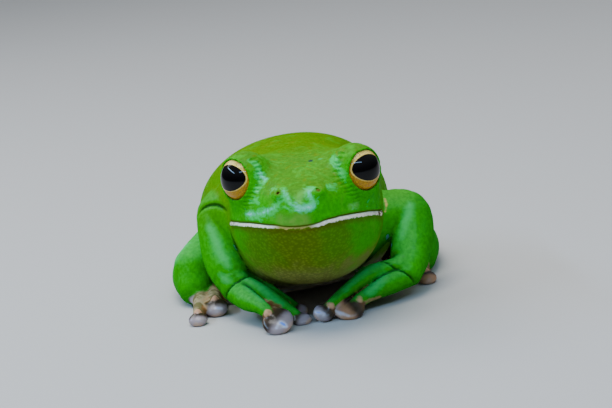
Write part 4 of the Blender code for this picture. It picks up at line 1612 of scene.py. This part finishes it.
        # Painted shade under the lip.
        shade = below.fade(0.0, 2.2, 0.55) * drop.rise(0.6, 1.3) * ahead * (1.0 - white)
        colour = wires.mix(shade, colour, look.lip_brown_and_shade)
        return wires.mix(abs(drop + 0.1).fade(0.08, 0.36, 0.75) * ahead, colour, look.lip_brown_and_shade)

    def _small_marks(self, colour: Socket) -> Socket:
        """The nostrils, the spot on the crown, and painted shade at the lids' edges and in the wrinkles
        beside the eyes.

        Args:
            colour: The colour so far.

        Returns:
            The colour with the marks.
        """
        wires, look = self.wires, self.finish
        colour = wires.mix(wires.mark(Mark.NOSTRIL).fade(-0.1, 0.3), colour, look.nostril)
        spot = wires.mark(Mark.SPOT) + (wires.noise(1100.0, 3.0, 0.5) - 0.5)
        colour = wires.mix(spot.fade(0.4, 0.8, 0.9), colour, look.spot)
        # Painted shade at the lids' edges and in the wrinkles beside the eyes.
        colour = wires.mix(wires.mark(Mark.LID).fade(0.2, 0.75, 0.7), colour, look.shaded)
        return wires.mix(self.lines.rise(0.35, 0.8, 0.6), colour, look.shaded)

    def _gloss(self) -> None:
        """Puts a soft gloss all over, with a wet coat on the strokes and discs."""
        wires, look = self.wires, self.finish
        patchy = wires.noise(260.0, 3.0, 0.5).rise(0.35, 0.7)
        dry = patchy.ramp(0.0, 1.0, look.roughness + 0.05, look.roughness - 0.08)
        wet = self.wet_coat_and_sheen * 0.25 | self.disc.fade(0.1, 0.7)
        film = patchy.ramp(0.0, 1.0, 0.02, 0.08) * self.throat.ramp(0.0, 1.0, 1.0, 0.4)
        inputs = {
            "Roughness": wires.between(wet, dry, look.wet_roughness),
            "Coat Weight": film | wet * 0.7,
            "Coat Roughness": look.coat_roughness,
            "Specular IOR Level": look.specular,
            "Subsurface Weight": look.glow,
            "Subsurface Radius": look.glow_radius,
            "Subsurface Scale": look.glow_scale,
        }
        wires.dress(self.shader, inputs)


@dataclass
class EyeMaterial:
    """A wet golden eye with a level black pupil. It reads the eye's own coordinates: across, up and out."""

    finish: EyeFinish = EyeFinish()

    def make(self) -> bpy.types.Material:
        """The material of both eyes.

        Returns:
            The material.
        """
        look = self.finish
        material, shader, wires = new_material("frog_eye")
        across, up, out = (way / MM for way in wires.split(wires.place))
        ways = zip((across, up - look.pupil_up), look.pupil_half)
        wide, high = (abs(way / half) ** look.pupil_power for way, half in ways)
        size = wide + high
        veins = wires.cells(1900.0, "DISTANCE_TO_EDGE")
        streaks = wires.noise(1500.0, 4.0, 1.2)
        gold = wires.mix((up + streaks).rise(2.2, 4.6), look.gold, look.pale_gold)
        gold = wires.mix(veins.fade(0.0, 0.22, 0.5), gold, look.vein)
        gold = wires.mix(streaks.rise(0.5, 0.75, 0.55), gold, look.vein)
        gold = wires.mix(size.fade(1.02, 1.14, 0.8), gold, look.pale_gold)
        colour = wires.mix(size.fade(0.96, 1.03), gold, look.pupil)
        inputs = {
            "Base Color": wires.mix(out.fade(2.3, 2.9, 0.9), colour, look.rim),
            "Roughness": size.ramp(0.96, 1.03, look.pupil_roughness, look.gold_roughness),
            "Specular IOR Level": 0.0,
            "Coat Weight": look.coat,
            "Coat IOR": look.coat_ior,
            "Coat Roughness": look.coat_roughness,
            "Normal": wires.bump(veins, 0.25, 0.2 * MM),
        }
        wires.dress(shader, inputs)
        return material


def add_object(name: str, data: bpy.types.ID) -> bpy.types.Object:
    """A new object in the scene.

    Args:
        name: Its name.
        data: Its mesh, light or camera.

    Returns:
        The object.
    """
    made = bpy.data.objects.new(name, data)
    bpy.context.scene.collection.objects.link(made)
    return made


def finished_mesh(name: str, shape: bmesh.types.BMesh, material: bpy.types.Material) -> bpy.types.Mesh:
    """A mesh of the shape, which is freed.

    Args:
        name: The mesh's name.
        shape: The shape.
        material: What covers it.

    Returns:
        The mesh.
    """
    mesh = bpy.data.meshes.new(name)
    shape.to_mesh(mesh)
    shape.free()
    mesh.materials.append(material)
    return mesh


@dataclass
class Skin:
    """The frog's skin: a mesh of the field of its flesh, finer at the mouth, eyes, nostrils and discs."""

    flesh: Flesh
    origin: Array
    slope_step: float = 0.12
    longest_move: float = 0.4
    least_slope: float = 0.5

    def make(self, material: bpy.types.Material) -> bpy.types.Object:
        """The skin as one object.

        Args:
            material: What covers it.

        Returns:
            The object.
        """
        grid = self.flesh.grid
        values = self.flesh.field(grid.points()).reshape(grid.counts)
        rough = bpy.data.meshes.new("rough")
        points, quads = surface_of(grid, values)
        rough.from_pydata(points, [], quads)
        shape = bmesh.new()
        shape.from_mesh(rough)
        bpy.data.meshes.remove(rough)
        self._keep_largest(shape)
        for level in FINENESS:
            places = np.array([vert.co[:] for vert in shape.verts])
            for vert, wanted in zip(shape.verts, self.flesh.wants_detail(places, level)):
                vert.tag = bool(wanted)
            edges = [edge for edge in shape.edges if edge.verts[0].tag and edge.verts[1].tag]
            bmesh.ops.subdivide_edges(shape, edges=edges, cuts=1, use_grid_fill=True)
        bmesh.ops.triangulate(shape, faces=[face for face in shape.faces if len(face.verts) > 4])
        mesh = finished_mesh("skin", shape, material)
        self._settle(mesh)
        mesh.shade_smooth()
        return add_object("skin", mesh)

    @staticmethod
    def _keep_largest(shape: bmesh.types.BMesh) -> None:
        """Deletes every surface but the largest.

        Args:
            shape: The shape.
        """
        left, groups = set(shape.verts), []
        while left:
            group = [left.pop()]
            for vert in group:
                fresh = {other for edge in vert.link_edges for other in edge.verts} & left
                left -= fresh
                group.extend(fresh)
            groups.append(group)
        for group in sorted(groups, key=len)[:-1]:
            bmesh.ops.delete(shape, geom=group, context="VERTS")

    def _settle(self, mesh: bpy.types.Mesh) -> None:
        """Moves the mesh's points onto the surface, stores the marks, and puts the mesh in its frame.

        Args:
            mesh: The skin's mesh.
        """
        points = np.empty(len(mesh.vertices) * 3)
        mesh.vertices.foreach_get("co", points)
        points = points.reshape(-1, 3)
        steps = np.eye(3) * self.slope_step
        for _ in range(2):
            here = self.flesh.field(points)
            rise = np.stack([self.flesh.field(points + way) - here for way in steps], axis=1)
            slope = rise / self.slope_step
            steep = np.maximum((slope * slope).sum(axis=1), self.least_slope**2)
            move = slope * (here / steep)[:, None]
            length = np.linalg.norm(move, axis=1, keepdims=True)
            points = points - move * np.minimum(1.0, self.longest_move / np.maximum(length, 1e-9))
        for mark, values in self.flesh.marks(points).items():
            layer = mesh.attributes.new(mark.value, "FLOAT", "POINT")
            layer.data.foreach_set("value", values.astype(np.float32))
        placed = (points + self.origin) * MM
        mesh.vertices.foreach_set("co", placed.astype(np.float32).ravel())
        mesh.update()


@dataclass
class Eyeball:
    """One eyeball, finer than its solid."""

    seat: EyeSeat
    origin: Array
    segments: int = 96
    rings: int = 64

    def make(self, material: bpy.types.Material) -> bpy.types.Object:
        """The eyeball, its own Z along the way that it looks.

        Args:
            material: What covers it.

        Returns:
            The object.
        """
        shape = bmesh.new()
        radius = EYE_RADIUS * MM
        bmesh.ops.create_uvsphere(shape, u_segments=self.segments, v_segments=self.rings, radius=radius)
        mesh = finished_mesh(f"eyeball_{self.seat.side.label}", shape, material)
        mesh.shade_smooth()
        eye = add_object(mesh.name, mesh)
        place = Matrix(self.seat.turn.tolist()).to_4x4()
        place.translation = Vector((self.seat.centre + self.origin) * MM)
        eye.matrix_world = place
        return eye


@dataclass(frozen=True)
class Lamp:
    """A rectangular light that faces the frog."""

    name: str
    place: tuple[float, float, float]
    size: tuple[float, float]
    power: float
    colour: Colour = (0.97, 0.98, 1.0)

    def make(self) -> None:
        """Adds the light to the scene."""
        data = bpy.data.lights.new(self.name, "AREA")
        data.shape = "RECTANGLE"
        data.size, data.size_y = self.size
        data.energy = self.power
        data.color = self.colour
        light = add_object(self.name, data)
        light.location = self.place
        light.rotation_euler = (Vector((0, 0, 0.02)) - Vector(self.place)).to_track_quat("-Z", "Y").to_euler()


PANE_BLUE: Colour = (0.36, 0.62, 1.0)
# A broad light overhead, a softer one behind, and two long panes that glint in the eyes.
LAMPS = (
    Lamp("overhead", (-0.05, -0.10, 0.62), (0.36, 0.36), 3.5),
    Lamp("sky_back_right", (-0.34, 0.34, 0.50), (0.36, 0.36), 1.6),
    Lamp("pane_right", (-0.62, -0.06, 0.50), (0.75, 0.035), 3.8, PANE_BLUE),
    Lamp("pane_front", (0.06, -0.56, 0.58), (0.70, 0.035), 3.4, PANE_BLUE),
)


@dataclass(frozen=True)
class Studio:
    """Camera at the photograph's angle, soft lights, a pale floor and a pale world."""

    target: tuple[float, float, float] = (1.5, 0.0, 31.24)
    elevation: float = 13.0
    roll: float = 7.0
    distance: float = 486.0
    pixels_per_mm: float = 4.2
    image_width: int = 612
    sensor_width: float = 36.0
    floor_size: float = 6.0
    floor_colour: Colour = (0.52, 0.49, 0.45)
    floor_roughness: float = 0.7
    sky_colour: Colour = (0.86, 0.93, 1.0)

    def make(self, origin: Array) -> None:
        """Sets up the whole studio.

        Args:
            origin: What is added to a place on the frog to put it in the frame, in millimetres.
        """
        self._camera(origin)
        self._floor()
        self._sky()
        for lamp in LAMPS:
            lamp.make()

    def _camera(self, origin: Array) -> None:
        """Sets the camera, level with a low viewer who holds it a little askew.

        Args:
            origin: What is added to a place on the frog to put it in the frame, in millimetres.
        """
        tilt, roll = math.radians(self.elevation), math.radians(self.roll)
        forward = Vector((0.0, math.cos(tilt), -math.sin(tilt)))
        level, upright = Vector((1.0, 0.0, 0.0)), Vector((0.0, math.sin(tilt), math.cos(tilt)))
        right = level * math.cos(roll) - upright * math.sin(roll)
        up = level * math.sin(roll) + upright * math.cos(roll)
        place = Matrix((right, up, -forward)).transposed().to_4x4()
        place.translation = (Vector(np.array(self.target) + origin) - forward * self.distance) * MM
        data = bpy.data.cameras.new("photo_camera")
        data.sensor_width = self.sensor_width
        data.lens = self.pixels_per_mm * self.distance / self.image_width * self.sensor_width
        data.clip_start = 0.01
        camera = add_object("photo_camera", data)
        camera.matrix_world = place
        bpy.context.scene.camera = camera

    def _floor(self) -> None:
        """Lays a plain pale floor, which isn't part of the frog."""
        shape = bmesh.new()
        bmesh.ops.create_grid(shape, x_segments=1, y_segments=1, size=self.floor_size / 2)
        material, shader, wires = new_material("floor")
        wires.dress(shader, {"Base Color": self.floor_colour, "Roughness": self.floor_roughness})
        floor = add_object("floor", finished_mesh("floor", shape, material))

    def _sky(self) -> None:
        """Gives the world a pale light from above, fainter towards the horizon."""
        world = bpy.data.worlds.new("studio")
        bpy.context.scene.world = world
        world.use_nodes = True
        wires = Wires(world.node_tree)
        height = wires.split(wires.node("TexCoord").outputs["Generated"])[2]
        light = height.ramp(0.05, 0.8, 0.08, 0.45)
        wires.dress(world.node_tree.nodes["Background"], {"Color": self.sky_colour, "Strength": light})


@dataclass
class Frog:
    """The whole frog: one skin and two eyes."""

    flesh: Flesh

    def origin(self) -> Array:
        """What is added to a place on the frog to put it in the frame, read from the right eye's solid.

        Returns:
            The shift, in millimetres.
        """
        low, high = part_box("eye_right")
        middle = (np.array(low) + np.array(high)) / 2 / MM
        shift = middle - self.flesh.seats[0].centre
        return np.array((shift[0], shift[1], -FLOOR_PRESS))

    def make(self) -> Array:
        """Makes every piece and fixes it to the frog's body.

        Returns:
            The frog's origin.
        """
        origin = self.origin()
        log.info("origin %s", origin.round(3))
        skin = Skin(self.flesh, origin).make(SkinMaterial().make())
        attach(skin, BODY)
        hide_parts(*(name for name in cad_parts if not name.startswith("eye")))
        log.info("skin: %d faces", len(skin.data.polygons))
        gold = EyeMaterial().make()
        for seat in self.flesh.seats:
            eye = Eyeball(seat, origin).make(gold)
            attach(eye, BODY)
            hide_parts(f"eye_{seat.side.label}")
            log.info("%s: %d faces", eye.name, len(eye.data.polygons))
        return origin


def main() -> None:
    """Makes the frog and its studio."""
    frog = Frog(Flesh())
    Studio().make(frog.make())


if __name__ == "__main__":
    main()
